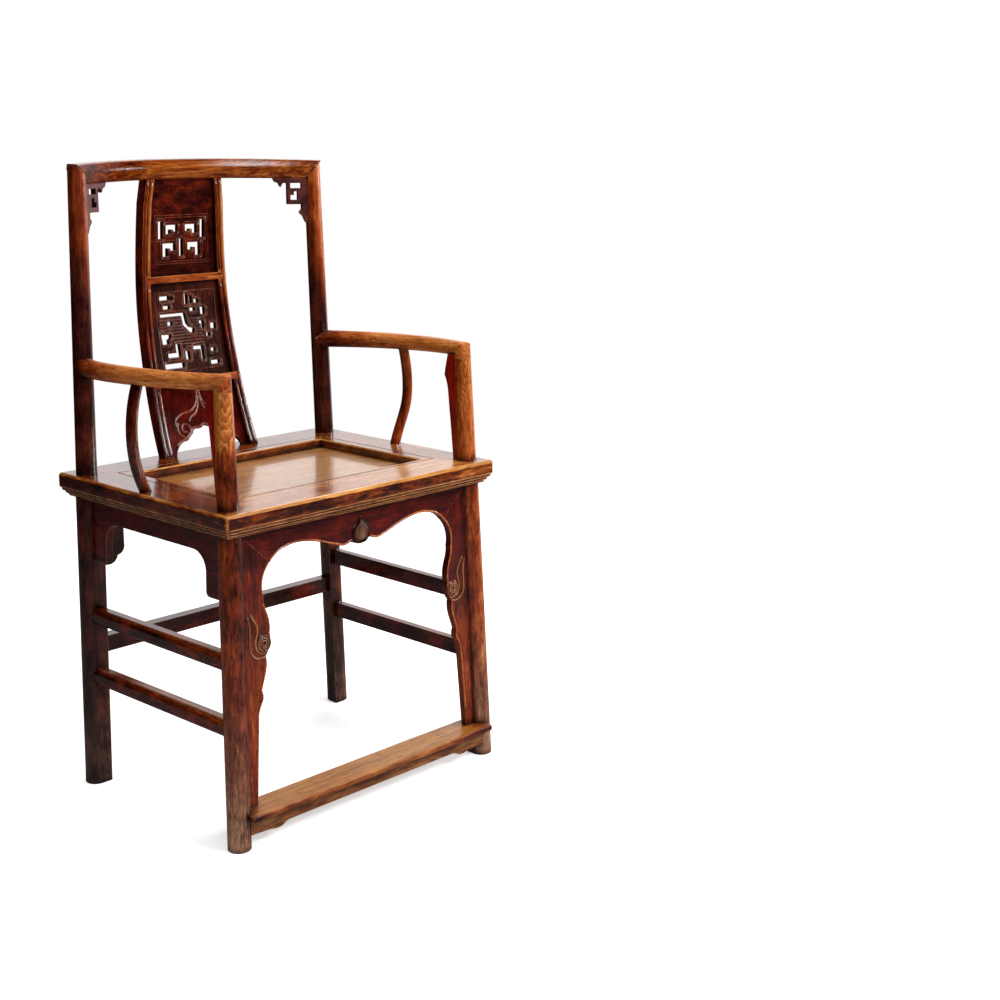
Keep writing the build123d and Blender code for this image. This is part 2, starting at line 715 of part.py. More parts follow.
def back_stretcher_raw():
    """Straight stretcher between the back legs' axes."""
    x, y = back_axis(BACK_STRETCHER_Z)
    half = STRETCHER_HEIGHT / 2
    depth = STRETCHER_DEPTH / 2
    return box_between((x, y - depth, BACK_STRETCHER_Z - half), (-x, y + depth, BACK_STRETCHER_Z + half))


def back_tenon(grow=0.0):
    """Tenon of the back stretcher in the left back leg."""
    x, y = back_axis(BACK_STRETCHER_Z)
    half = TENON_THICKNESS / 2
    tall = STRETCHER_HEIGHT / 2 - 4
    end = x + LEG_RADIUS - TENON_DEPTH
    z = BACK_STRETCHER_Z
    return box_between((end, y - half, z - tall), (end + 25, y + half, z + tall), grow)


# ---------------------------------------------------------------- foot rail

def foot_rail_raw():
    """Flat foot rail between the front legs with a lip that runs on across their fronts."""
    low = FOOT_RAIL_TOP - FOOT_RAIL_THICKNESS
    inner_x = -front_axis(FOOT_RAIL_TOP)[0] - LEG_RADIUS + 2
    lip_back = FRONT_FOOT[1] - 6
    body = box_between((-inner_x, FOOT_RAIL_FRONT, low), (inner_x, FOOT_RAIL_BACK, FOOT_RAIL_TOP))
    lip = box_between((-FOOT_RAIL_HALF, FOOT_RAIL_FRONT, low), (FOOT_RAIL_HALF, lip_back, FOOT_RAIL_TOP))
    rail = body + lip
    front_face = rail.faces().sort_by(Axis.Y)[0]
    return fillet(front_face.edges().filter_by(Axis.X), 3.5)


def foot_apron_raw():
    """Low apron under the foot rail with a stepped bracket at each end."""
    low = FOOT_RAIL_TOP - FOOT_RAIL_THICKNESS
    half = [
        Line((0, 26.5), (-184, 26.5)),
        ThreePointArc((-184, 26.5), (-193, 25), (-200, 21.5)),
        ThreePointArc((-200, 21.5), (-212, 19.5), (-224, 22)),
        Polyline((-224, 22), (-265, 24), (-265, low), (0, low)),
    ]
    left = Curve() + half
    face = make_face(left + mirror(left, about=Plane.YZ))
    plane = Plane(origin=(0, -228, 0), x_dir=(1, 0, 0), z_dir=(0, -1, 0))
    return extrude(plane * face, -APRON_THICKNESS)


def foot_rail_tenon(grow=0.0):
    """Tenon of the foot rail in the left front leg."""
    x, y = front_axis(FOOT_RAIL_TOP)
    end = x + LEG_RADIUS - TENON_DEPTH
    low = FOOT_RAIL_TOP - FOOT_RAIL_THICKNESS + 1.5
    return box_between((end, y + 1, low), (end + 25, y + 11, FOOT_RAIL_TOP - 1.5), grow)


# ---------------------------------------------------------------- assembly

def both_sides(shape):
    """A left-hand cutter and its right-hand twin together."""
    return shape + mirrored(shape)


def keep_pair(name, left):
    """Store a left-hand piece and its right-hand twin."""
    keep(name + "_left", left)
    keep(name + "_right", mirrored(left))


arm_rod, arm_path = arm_raw()
front_leg = leg_with_post(front_axis, 1, ARM_POST_RADIUS, ARM_FRONT_Z)
arm_cap, corner_waste = arm_elbow(front_leg, arm_path)
front_leg -= half_space((0, 0, CAP_FOOT_Z), (0, 0, 1))
back_leg = leg_with_post(back_axis, -1, BACK_POST_RADIUS, CREST_AXIS_Z) - half_space(*crest_mitre())
crest = crest_raw()
front_legs = both_sides(front_leg)
back_legs = both_sides(back_leg)

# Splat
splat_stile = stile() - crest
splat_stile += stile_tenon(SPLAT_HEAD_Z - 6, SPLAT_HEAD_Z + 10) + stile_tenon(SEAT_TOP - 10, SEAT_TOP + 4)
keep("splat_rail_upper", cross_rail(UPPER_RAIL))
keep("splat_rail_lower", cross_rail(LOWER_RAIL))
keep_pair("splat_stile", splat_stile)
keep("splat_fret_panel", splat_panel(UPPER_RAIL[1] - PANEL_TONGUE, SPLAT_HEAD_Z + 4, fret_openings()) - crest)
keep("splat_dragon_panel", splat_panel(LOWER_RAIL[1] - PANEL_TONGUE, UPPER_RAIL[0] + PANEL_TONGUE,
                                       dragon_openings()))
keep("splat_cloud_panel", splat_panel(SEAT_TOP, LOWER_RAIL[0] + PANEL_TONGUE, cloud_opening()))

# Crest rail and its corner brackets
between_mitres = half_space(*crest_mitre()) & mirrored(half_space(*crest_mitre()))
crest_body = (crest & between_mitres) - both_sides(crest_tenon(FIT))
crest_body -= both_sides(stile_tenon(SPLAT_HEAD_Z - 6, SPLAT_HEAD_Z + 10, FIT))
keep("crest_rail", crest_body)
keep_pair("crest_bracket", crest_bracket_raw() - crest - back_leg)

# Arms, struts and arm brackets
strut = strut_raw()
arm_forward = arm_path % 1
arm_body = (arm_rod & half_space(arm_path @ 1, Vector(0, 0, 1) - arm_forward)) + arm_cap - corner_waste
arm_body = arm_body - back_leg - arm_front_tenon(FIT)
arm_body = arm_body - strut_pin("top", FIT) + arm_back_tenon()
keep_pair("arm", arm_body)
seat_block = box_between((-SEAT_WIDTH, -SEAT_DEPTH, 400), (SEAT_WIDTH, SEAT_DEPTH, SEAT_TOP))
keep_pair("arm_strut", strut - arm_rod - seat_block + strut_pin("top") + strut_pin("foot"))
keep_pair("arm_bracket", arm_bracket_raw() - arm_rod - arm_cap - front_leg)

# Seat frame
frame = seat_ring()
for axis in (front_axis, back_axis):
    frame = frame - neck_hole(axis) - mirrored(neck_hole(axis))
frame -= both_sides(strut_pin("foot", FIT))
frame -= both_sides(stile_tenon(SEAT_TOP - 10, SEAT_TOP + 4, FIT))
wedge = mitre_wedge()
back_wedge = mirror(wedge, about=Plane.XZ)
tongues = both_sides(corner_tongue())
tongues += mirror(tongues, about=Plane.XZ)
room = both_sides(corner_tongue(FIT))
room += mirror(room, about=Plane.XZ)
batten_room = both_sides(batten(FIT))
keep("seat_frame_front", eased_rim(frame & wedge) - room - batten_room)
keep("seat_frame_back", eased_rim(frame & back_wedge) - room - batten_room)
left_half = box_between((-SEAT_WIDTH, -SEAT_DEPTH, 400), (0, SEAT_DEPTH, 600))
side_member = eased_rim((frame - wedge - back_wedge) & left_half)
keep_pair("seat_frame_side", side_member + (tongues & left_half))
keep_pair("seat_batten", batten())
keep("seat_board_front", seat_board(-OPENING_HALF_DEPTH - BOARD_TONGUE, BOARD_JOINT))
keep("seat_board_back", seat_board(BOARD_JOINT, OPENING_HALF_DEPTH + BOARD_TONGUE))

# Aprons
under_seat = box_between((-400, -400, FRAME_UNDERSIDE), (400, 400, SEAT_TOP))
strip = front_strip_raw()
apron = front_apron()
keep("front_apron", apron - under_seat - front_legs - both_sides(strip))
strip = strip - under_seat
side_apron = side_apron_raw() - under_seat - front_leg - back_leg
back_apron = back_apron_raw() - under_seat - back_legs
keep_pair("side_apron", side_apron)
keep("back_apron", back_apron)

# Stretchers
leg_cuts = []
for name, z in (("upper", UPPER_STRETCHER_Z), ("lower", LOWER_STRETCHER_Z)):
    body = side_stretcher_raw(z) - front_leg - back_leg + side_tenons(z)
    keep_pair("side_stretcher_" + name, body)
    leg_cuts.append(side_tenons(z, FIT))
stretcher = back_stretcher_raw() - back_legs + both_sides(back_tenon())
keep("back_stretcher", stretcher)

# Foot rail and its apron
foot_rail = foot_rail_raw() - front_legs + both_sides(foot_rail_tenon())
keep("foot_rail", foot_rail)
keep("foot_rail_apron", foot_apron_raw() - front_legs)
foot_block = box_between((-400, -400, 0), (400, 400, FOOT_RAIL_TOP))

# Legs with their mortises
for cut in leg_cuts:
    front_leg -= cut
    back_leg -= cut
front_leg -= foot_rail_tenon(FIT)
front_leg -= strip_housing(FIT) & box_between((-262, -300, 0), (-200, -100, FRAME_UNDERSIDE))
front_leg += arm_front_tenon()
back_leg = back_leg - back_tenon(FIT) - arm_back_tenon(FIT) + crest_tenon()
keep_pair("front_leg", front_leg)
keep_pair("back_leg", back_leg)
keep_pair("front_strip", strip - foot_block - front_leg)

# The origin is the middle of the chair's footprint box, so the seat centre stands forward of it.
foremost = min(shape.bounding_box().min.Y for shape in finished.values())
backmost = max(shape.bounding_box().max.Y for shape in finished.values())
to_origin = Pos(0, -(foremost + backmost) / 2, 0)
print("moved in Y", -(foremost + backmost) / 2)

for name, shape in finished.items():
    solids = (to_origin * shape).solids()
    whole = solids[0] if len(solids) == 1 else Compound(children=list(solids))
    export_step(whole, "parts/" + name + ".step")
    print(name, len(solids), round(whole.volume))
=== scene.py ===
import bpy
import math
from mathutils import Matrix, Vector
from mathutils.bvhtree import BVHTree


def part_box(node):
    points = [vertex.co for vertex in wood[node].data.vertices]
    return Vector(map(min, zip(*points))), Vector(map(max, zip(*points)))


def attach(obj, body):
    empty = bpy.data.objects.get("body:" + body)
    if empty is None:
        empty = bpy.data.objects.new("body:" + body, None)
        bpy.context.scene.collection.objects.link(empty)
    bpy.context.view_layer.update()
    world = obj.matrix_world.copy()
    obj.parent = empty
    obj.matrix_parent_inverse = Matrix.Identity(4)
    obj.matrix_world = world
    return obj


# An official's hat chair of lacquered elm: posts that run up through a mitred seat frame,
# bowed arms and crest rail, a carved splat, an arched front apron and a worn foot rail.
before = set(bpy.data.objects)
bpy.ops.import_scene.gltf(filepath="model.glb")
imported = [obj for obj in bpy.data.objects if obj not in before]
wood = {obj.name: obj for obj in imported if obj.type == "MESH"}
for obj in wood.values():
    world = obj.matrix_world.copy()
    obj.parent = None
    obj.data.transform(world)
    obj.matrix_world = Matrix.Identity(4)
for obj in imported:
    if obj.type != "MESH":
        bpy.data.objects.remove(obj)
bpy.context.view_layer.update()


# ---------------------------------------------------------------- legs and posts
# Each leg is one stick of elm that runs on through the seat frame as an arm post or a back post.
# It is rounded outside, coated in red-brown lacquer, and rubbed through where hands and feet reach.

def srgb(code):
    """Linear colour of an sRGB hex value."""
    levels = [int(code[i:i + 2], 16) / 255 for i in (1, 3, 5)]
    linear = [v / 12.92 if v <= 0.04045 else ((v + 0.055) / 1.055) ** 2.4 for v in levels]
    return (*linear, 1)


def add(tree, kind, links=None, stops=None, **settings):
    """A node of this kind with its settings, socket values or links, and colour stops."""
    made = tree.nodes.new("ShaderNode" + kind)
    for setting, value in settings.items():
        setattr(made, setting, value)
    for socket, value in (links or {}).items():
        if isinstance(value, bpy.types.NodeSocket):
            tree.links.new(value, made.inputs[socket])
        else:
            made.inputs[socket].default_value = value
    if stops:
        ramp = made.color_ramp
        while len(ramp.elements) < len(stops):
            ramp.elements.new(1)
        for element, (position, colour) in zip(ramp.elements, stops):
            element.position = position
            element.color = colour
    return made


LACQUER = ("#0c0303", "#340b06", "#6b1a0c")  # pooled near black, as brushed on, and thin enough to glow
ELM = ("#6a2a0a", "#b05c1e", "#dc9447")  # dark grain, plain wood and bright wood
AMBER = "#c88c66"  # the stain that the last of the lacquer leaves in the wood

# How coarse the patterns are across the grain, in millimetres. The pores of elm are about 0.2 mm
# wide, and are drawn some three times as coarse so that they show.
WANDER_MM = 22.2  # the bends in the growth rings
STREAK_MM = 3.03  # bundles of fibre, lighter and darker
TONE_MM = 11.1  # slow change of tone from one side of a stick to the other
POOL_MM = 16.7  # where the lacquer ran together under the brush
BLOT_MM = 38.5  # larger stains in it
RUB_MM = 5  # flakes where it is rubbed through
KNOCK_MM = 4.35  # dents and old dirt
PORE_MM = 2 / 3
RING_WAVE_MM = 314  # how far apart the rings of a wave of scale 1 are
WANDER_BY = 0.02
GRAIN_RELIEF, FILM_RELIEF = 0.0012, 0.002
CORNER_REACH = 0.014  # how far out of a corner dirt, whole lacquer and painted shade reach
FILM_IOR = 1.5  # of lacquer and of waxed wood alike


def per_metre(size_mm):
    """How many marks of this size fit in a metre, which is the scale of a noise as coarse as that."""
    return round(1000 / size_mm)


def lacquered_elm(name, grain, wear, along="Z", facing=(0, 0, 0), patchy=0.5, stretch=0.2, lacquer=LACQUER,
                  elm=ELM, amber=AMBER, gloss=0.2, coat=0.2, shine=0.5, heart=(0.03, 0.05, 0),
                  lean=(0.05, 0.04, 0), ring_mm=6, rings=0.1, figured_from=-1.0, edge=0.7, edge_mm=2.2,
                  nosing=0.0, dirt_and_shade=0.75, scuffs=0.6, dulled=1.0, seed=0.0):
    """Red-brown lacquer over elm, hand-polished. The wear list holds (place in metres, share rubbed
    through) along one axis, and facing adds to it where the surface turns that way and takes from it on
    the sides turned away, which on some pieces paints light and shade. Patchy, edge and nosing set how
    much more or less of it goes in patches, on sharp edges and on rounded ones.
    It gives the eye dark glossy red that breaks into amber and then golden, ring-grained wood."""
    material = bpy.data.materials.new(name)
    material.use_nodes = True
    tree = material.node_tree
    tree.nodes.clear()
    place = add(tree, "TexCoord").outputs["Object"]
    height = add(tree, "SeparateXYZ", {"Vector": place}).outputs["Z"]
    flat = add(tree, "NewGeometry").outputs["Normal"]

    def drawn_along(share):
        """The place squeezed along the grain, which draws a pattern out that way."""
        squeeze = [share if axis == grain else 1 for axis in "XYZ"]
        return add(tree, "Mapping", {"Vector": place, "Scale": squeeze,
                                     "Location": (seed, seed, seed)}).outputs["Vector"]

    # the wear runs as long as the piece asks, tones ten times their width and fibres forty times
    rubbed, lengthwise, fibre = drawn_along(stretch), drawn_along(0.1), drawn_along(0.025)

    # growth rings round the log's heart, and the streaks that run along the stick
    wander = add(tree, "TexNoise", {"Vector": rubbed, "Scale": per_metre(WANDER_MM), "Detail": 3,
                                    "Roughness": 0.6})
    wander = add(tree, "VectorMath", {0: wander.outputs["Color"], 1: (WANDER_BY, WANDER_BY, WANDER_BY)},
                 operation="MULTIPLY")
    log = add(tree, "VectorMath", {0: place, 1: wander.outputs["Vector"]}, operation="ADD")
    log = add(tree, "VectorMath", {0: log.outputs["Vector"], 1: heart}, operation="SUBTRACT")
    log = add(tree, "Mapping", {"Vector": log.outputs["Vector"], "Rotation": lean})
    ring = add(tree, "TexWave", {"Vector": log.outputs["Vector"], "Scale": RING_WAVE_MM / ring_mm,
                                 "Distortion": 0.6, "Detail": 2, "Detail Scale": 1.0,
                                 "Detail Roughness": 0.6},
               wave_type="RINGS", rings_direction=grain, wave_profile="SAW")
    streaks = add(tree, "TexNoise", {"Vector": fibre, "Scale": per_metre(STREAK_MM), "Detail": 5,
                                     "Roughness": 0.65})
    tone = add(tree, "TexNoise", {"Vector": lengthwise, "Scale": per_metre(TONE_MM), "Detail": 4,
                                  "Roughness": 0.6})
    tone = add(tree, "Mix", {"Factor": 0.5, "A": streaks.outputs["Fac"], "B": tone.outputs["Fac"]})
    figured = add(tree, "MapRange", {"Value": height, "From Min": figured_from,
                                     "From Max": figured_from + 0.03, "To Min": 0, "To Max": rings})
    tone = add(tree, "Mix", {"Factor": figured.outputs["Result"], "A": tone.outputs["Result"],
                             "B": ring.outputs["Fac"]})
    bare = add(tree, "ValToRGB", {"Fac": tone.outputs["Result"]},
               stops=[(0.28, srgb(elm[0])), (0.48, srgb(elm[1])), (0.72, srgb(elm[2]))])

    # the lacquer pools from near black to a clear dark red
    pools = add(tree, "TexNoise", {"Vector": rubbed, "Scale": per_metre(POOL_MM), "Detail": 5,
                                   "Roughness": 0.68})
    blots = add(tree, "TexNoise", {"Vector": place, "Scale": per_metre(BLOT_MM), "Detail": 3,
                                   "Roughness": 0.6})
    pooled = add(tree, "Mix", {"Factor": 0.4, "A": pools.outputs["Fac"], "B": blots.outputs["Fac"]})
    film = add(tree, "ValToRGB", {"Fac": pooled.outputs["Result"]},
               stops=[(0.36, srgb(lacquer[0])), (0.5, srgb(lacquer[1])), (0.66, srgb(lacquer[2]))])

    # where hands, clothes and feet have rubbed it through: along the piece, on the side that is
    # turned to them, in patches, on its arrises and nosings, and least of all in its corners; the
    # sides turned away and the corners are darker, partly as painted shade
    coordinate = add(tree, "SeparateXYZ", {"Vector": place}).outputs[along]
    low, high = wear[0][0], wear[-1][0]
    share = add(tree, "MapRange", {"Value": coordinate, "From Min": low, "From Max": high})
    stops = [((at - low) / (high - low), (worn, worn, worn, 1)) for at, worn in wear]
    level = add(tree, "ValToRGB", {"Fac": share.outputs["Result"]}, stops=stops).outputs["Color"]
    turned = add(tree, "VectorMath", {0: flat, 1: facing}, operation="DOT_PRODUCT")
    patches = add(tree, "TexNoise", {"Vector": rubbed, "Scale": per_metre(RUB_MM), "Detail": 6,
                                     "Roughness": 0.75})
    blotted = add(tree, "Mix", {"Factor": 0.5, "A": patches.outputs["Fac"], "B": pooled.outputs["Result"]})
    patch = add(tree, "MapRange", {"Value": blotted.outputs["Result"], "From Min": 0.35, "From Max": 0.65,
                                   "To Min": -patchy / 2, "To Max": patchy / 2})
    rounded = add(tree, "Bevel", {"Radius": edge_mm / 1000}, samples=4).outputs["Normal"]
    sharpness = add(tree, "VectorMath", {0: rounded, 1: flat}, operation="DOT_PRODUCT")
    arris = add(tree, "MapRange", {"Value": sharpness.outputs["Value"], "From Min": 0.985,
                                   "From Max": 0.85, "To Min": 0, "To Max": edge})
    square = add(tree, "VectorMath", {0: flat}, operation="ABSOLUTE").outputs["Vector"]
    square = add(tree, "SeparateXYZ", {"Vector": square})
    squarest = add(tree, "Math", {0: square.outputs["X"], 1: square.outputs["Y"]}, operation="MAXIMUM")
    squarest = add(tree, "Math", {0: squarest.outputs["Value"], 1: square.outputs["Z"]},
                   operation="MAXIMUM")
    rolled = add(tree, "MapRange", {"Value": squarest.outputs["Value"], "From Min": 1.0, "From Max": 0.96,
                                    "To Min": 0, "To Max": nosing})
    # occlusion finds the corners, where the lacquer stays whole and dirt with painted shade darkens the wood
    open_air = add(tree, "AmbientOcclusion", {"Distance": CORNER_REACH}, samples=4).outputs["AO"]
    corner = add(tree, "MapRange", {"Value": open_air, "From Min": 0.35, "From Max": 0.85})
    crevice = add(tree, "MapRange", {"Value": corner.outputs["Result"], "To Min": -0.6, "To Max": 0})
    for more in (turned.outputs["Value"], patch.outputs["Result"], arris.outputs["Result"],
                 rolled.outputs["Result"], crevice.outputs["Result"]):
        level = add(tree, "Math", {0: level, 1: more}, operation="ADD").outputs["Value"]

    # film, then stained wood, then bare wood as the wear goes deeper
    thin = add(tree, "MapRange", {"Value": level, "From Min": 0.1, "From Max": 0.7})
    gone = add(tree, "MapRange", {"Value": level, "From Min": 0.35, "From Max": 1.0},
               interpolation_type="SMOOTHSTEP")
    stain = add(tree, "Mix", {"Factor": 1.0, "A": srgb(amber), "B": bare.outputs["Color"]},
                data_type="RGBA", blend_type="MULTIPLY")
    colour = add(tree, "Mix", {"Factor": thin.outputs["Result"], "A": film.outputs["Color"],
                               "B": stain.outputs["Result"]}, data_type="RGBA")
    colour = add(tree, "Mix", {"Factor": gone.outputs["Result"], "A": colour.outputs["Result"],
                               "B": bare.outputs["Color"]}, data_type="RGBA")

    # dirt and painted shade in the corners, and dirt in the pores and in the dents
    grime_and_shade = add(tree, "MapRange", {"Value": corner.outputs["Result"], "To Min": 1 - dirt_and_shade, "To Max": 1})
    pores = add(tree, "TexNoise", {"Vector": fibre, "Scale": per_metre(PORE_MM), "Detail": 1,
                                   "Roughness": 0.5})
    pore = add(tree, "MapRange", {"Value": pores.outputs["Fac"], "From Min": 0.34, "From Max": 0.46,
                                  "To Min": 0.6, "To Max": 1})
    knocks = add(tree, "TexNoise", {"Vector": rubbed, "Scale": per_metre(KNOCK_MM), "Detail": 3,
                                    "Roughness": 0.55, "Distortion": 0.6})
    scuff = add(tree, "MapRange", {"Value": knocks.outputs["Fac"], "From Min": 0.56, "From Max": 0.7,
                                   "To Min": 1, "To Max": 1 - scuffs}, interpolation_type="SMOOTHSTEP")
    grime_and_shade = grime_and_shade.outputs["Result"]
    for darker in (pore, scuff):
        grime_and_shade = add(tree, "Math", {0: grime_and_shade, 1: darker.outputs["Result"]}, operation="MULTIPLY")
        grime_and_shade = grime_and_shade.outputs["Value"]
    colour = add(tree, "Mix", {"Factor": 1.0, "A": colour.outputs["Result"], "B": grime_and_shade},
                 data_type="RGBA", blend_type="MULTIPLY")

    # mopped floors have greyed the wood near the ground
    dust = add(tree, "MapRange", {"Value": height, "From Min": 0.02, "From Max": 0.25,
                                  "To Min": dulled, "To Max": 1}).outputs["Result"]
    yellowed = add(tree, "MapRange", {"Value": dust, "To Min": 0.56, "To Max": 0.5})
    colour = add(tree, "HueSaturation", {"Hue": yellowed.outputs["Result"], "Saturation": dust,
                                         "Value": dust, "Color": colour.outputs["Result"]})

    # the bare grain is a little rougher than the film and stands in low relief
    roughness = add(tree, "MapRange", {"Value": gone.outputs["Result"], "To Min": gloss,
                                       "To Max": gloss + 0.12})
    relief = add(tree, "Bump", {"Height": streaks.outputs["Fac"], "Strength": 0.25,
                                "Distance": GRAIN_RELIEF, "Normal": rounded})
    relief = add(tree, "Bump", {"Height": pools.outputs["Fac"], "Strength": 0.12,
                                "Distance": FILM_RELIEF, "Normal": relief.outputs["Normal"]})
    skin = add(tree, "BsdfPrincipled", {"Base Color": colour.outputs["Color"], "IOR": FILM_IOR,
                                        "Roughness": roughness.outputs["Result"], "Coat Weight": coat,
                                        "Coat Roughness": 0.1, "Specular IOR Level": shine,
                                        "Normal": relief.outputs["Normal"]})
    add(tree, "OutputMaterial", {"Surface": skin.outputs["BSDF"]})
    return material


def dress(node, material):
    """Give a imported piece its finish."""
    mesh = wood[node].data
    mesh.materials.clear()
    mesh.materials.append(material)


# Each leg's wear up its height, the way its bare side faces, and how patchy it is. The arm posts are
# bare on top, where hands rest, and the back posts are bare at the shoulders. The facing also
# lightens the sides turned its way and darkens the others, partly as painted light and shade.
LEGS = {
    "front_leg_left": ([(0, 0.6), (0.06, 0.5), (0.12, 0.35), (0.3, 0.3), (0.5, 0.2), (0.545, 0.2),
                        (0.6, 0.25), (0.635, 0.55), (0.66, 0.9), (0.74, 1.0)], (-0.1, 0.05, 0), 0.7),
    "front_leg_right": ([(0, 0.55), (0.06, 0.5), (0.2, 0.45), (0.5, 0.4), (0.56, 0.55), (0.66, 0.62),
                         (0.74, 0.62)], (0.1, -0.1, 0), 0.7),
    "back_leg_left": ([(0, 0.4), (0.05, 0.2), (0.3, 0.1), (0.5, -0.1), (0.75, -0.1), (0.86, 0.25),
                       (0.92, 0.6), (1.04, 0.65)], (0.25, 0.15, 0), 0.4),
    "back_leg_right": ([(0, 0.35), (0.05, 0.15), (0.5, -0.1), (0.74, 0.05), (0.86, 0.5), (0.94, 0.75),
                        (1.04, 0.8)], (0.35, 0.05, 0), 0.5),
}
HEART_ASIDE, HEART_BEHIND = 0.004, 0.012  # from the stick's middle and its back to the log's heart
ARM_POSTS_FROM, ABOVE_ALL = 0.6, 2.0  # heights from which ring figure shows: on the arm posts, and nowhere
for number, (node, (wear, facing, patchy)) in enumerate(LEGS.items()):
    low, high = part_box(node)
    heart = ((low.x + high.x) / 2 + HEART_ASIDE, high.y + HEART_BEHIND, 0)
    # dark brown-red sticks that turn greyer at the feet, with ring figure on the golden arm posts
    dress(node, lacquered_elm("lacquered elm " + node, "Z", wear, facing=facing, patchy=patchy,
                              lacquer=("#120605", "#3a120b", "#5f2717"), heart=heart,
                              lean=(0.13, -0.1, 0), ring_mm=2.4, rings=0.3,
                              figured_from=ARM_POSTS_FROM if "front" in node else ABOVE_ALL,
                              dulled=0.75, seed=number * 1.7))


# ---------------------------------------------------------------- seat frame
# Four elm members mitred at the corners. The posts pass up through them, and the inner rim drops to
# the recessed boards. The edge is thumb-moulded over three fine beads, cut in the same wood.

# Each member's grain, its wear along that, what its top adds to it, and what its rounded edge adds
SEAT_FRAME = {
    "seat_frame_front": ("X", [(-0.3, 0.15), (-0.1, 0.15), (0.1, 0.25), (0.3, 0.4)], 0.5, 0.6),
    "seat_frame_back": ("X", [(-0.3, 0.2), (0.3, 0.4)], 0, 0.6),
    "seat_frame_side_left": ("Y", [(-0.24, 0.1), (-0.15, -0.1), (0.24, -0.25)], 0.35, 0.35),
    "seat_frame_side_right": ("Y", [(-0.24, 0.6), (0.24, 0.4)], 0, 0.6),
}
for number, (node, (grain, wear, on_top, nosing)) in enumerate(SEAT_FRAME.items()):
    # glossy wood, honey gold on top and on the nosing and dark red in between
    dress(node, lacquered_elm("polished lacquered elm " + node, grain, wear, along=grain,
                              facing=(0, 0, on_top), patchy=0.85, elm=("#6b3810", "#b0702c", "#dca257"),
                              lacquer=("#120605", "#3a120b", "#5f2212"), gloss=0.14, coat=0.45,
                              edge_mm=3, nosing=nosing, seed=5 + number * 1.3))


def directions(points, closed):
    """The way a run heads at each of its points."""
    last = len(points) - 1
    made = []
    for i, point in enumerate(points):
        before = points[i - 1] if i or closed else point
        after = points[(i + 1) % len(points)] if i < last or closed else point
        made.append((after - before).normalized())
    return made


def even(points, closed, step):
    """The same run with its points spaced evenly."""
    ring = points + points[:1] if closed else points
    lengths = [(b - a).length for a, b in zip(ring, ring[1:])]
    total = sum(lengths)
    count = max(4, round(total / step))
    marks = [total * i / count for i in range(count if closed else count + 1)]
    made, index, passed = [], 0, 0.0
    for mark in marks:
        while index < len(lengths) - 1 and passed + lengths[index] < mark:
            passed += lengths[index]
            index += 1
        share = (mark - passed) / lengths[index] if lengths[index] else 0
        made.append(ring[index].lerp(ring[index + 1], min(1, max(0, share))))
    return made


def trim(name, verts, faces, material):
    """A piece of trim that rides on the chair, smooth but for its flat ends and underside."""
    mesh = bpy.data.meshes.new(name)
    mesh.from_pydata(verts, [], faces)
    mesh.polygons.foreach_set("use_smooth", [len(f) < 5 for f in faces])
    mesh.materials.append(material)
    made = bpy.data.objects.new(name, mesh)
    bpy.context.scene.collection.objects.link(made)
    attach(made, "root")


RIDGE_SIDES = 8


def raised(name, runs, radius, material, sink):
    """One piece of round ridges, sunk by this share of their radius in the face that they stand on,
    or lifted off it where the share is below zero. Each run is (points, closed, facing)."""
    verts, faces = [], []
    for points, closed, facing in runs:
        base, count = len(verts), len(points)
        for point, along in zip(points, directions(points, closed)):
            across = facing.cross(along).normalized()
            for k in range(RIDGE_SIDES):
                turn = 2 * math.pi * k / RIDGE_SIDES
                verts.append(point + (across * math.cos(turn) * radius
                                      + facing * (math.sin(turn) - sink) * radius))
        for i in range(count if closed else count - 1):
            here, there = base + i * RIDGE_SIDES, base + (i + 1) % count * RIDGE_SIDES
            for k in range(RIDGE_SIDES):
                beside = (k + 1) % RIDGE_SIDES
                faces.append((here + k, here + beside, there + beside, there + k))
        if not closed:
            faces.append(tuple(base + k for k in reversed(range(RIDGE_SIDES))))
            faces.append(tuple(base + (count - 1) * RIDGE_SIDES + k for k in range(RIDGE_SIDES)))
    trim(name, verts, faces, material)


FRAME_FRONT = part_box("seat_frame_front")[0].y
FRAME_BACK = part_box("seat_frame_back")[1].y
FRAME_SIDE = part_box("seat_frame_side_right")[1].x
FRAME_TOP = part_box("seat_frame_side_right")[1].z
SEAT_Y = (FRAME_FRONT + FRAME_BACK) / 2
BEADS_MM = ((0.9, 23.2), (3.9, 28.7), (8.3, 34.2))  # in from the frame's edge, and down from its top
BEAD_RADIUS, BEAD_CORNER, BEAD_STEP = 0.0009, 0.0045, 0.01
# rubbed by clothes, so that they draw thin light lines under the dark edge
bead_elm = lacquered_elm("seat bead worn light", "X", [(-0.3, 0.7), (0.3, 0.85)], along="X", edge=0,
                         elm=("#6a3a1c", "#a8743f", "#cda26a"), dirt_and_shade=0.3, seed=87)
beads = []
for inward_mm, down_mm in BEADS_MM:
    half_width = FRAME_SIDE - inward_mm / 1000
    half_depth = (FRAME_BACK - FRAME_FRONT) / 2 - inward_mm / 1000
    loop = []
    for quarter, (sign_x, sign_y) in enumerate(((1, -1), (-1, -1), (-1, 1), (1, 1))):
        centre = Vector((sign_x * (half_width - BEAD_CORNER), SEAT_Y + sign_y * (half_depth - BEAD_CORNER),
                         FRAME_TOP - down_mm / 1000))
        for step in range(5):
            turn = math.radians(-90 * (quarter + step / 4))
            loop.append(centre + Vector((math.cos(turn), math.sin(turn), 0)) * BEAD_CORNER)
    beads.append((even(loop, True, BEAD_STEP), True, Vector((0, 0, -1))))
raised("seat_beads", beads, BEAD_RADIUS, bead_elm, sink=0)


# ---------------------------------------------------------------- seat boards and battens
# Two elm boards tongued into the frame below its rim, and two plain battens under them.
# Years of sitting have polished the boards. Nobody sees the battens, so they were left bare.

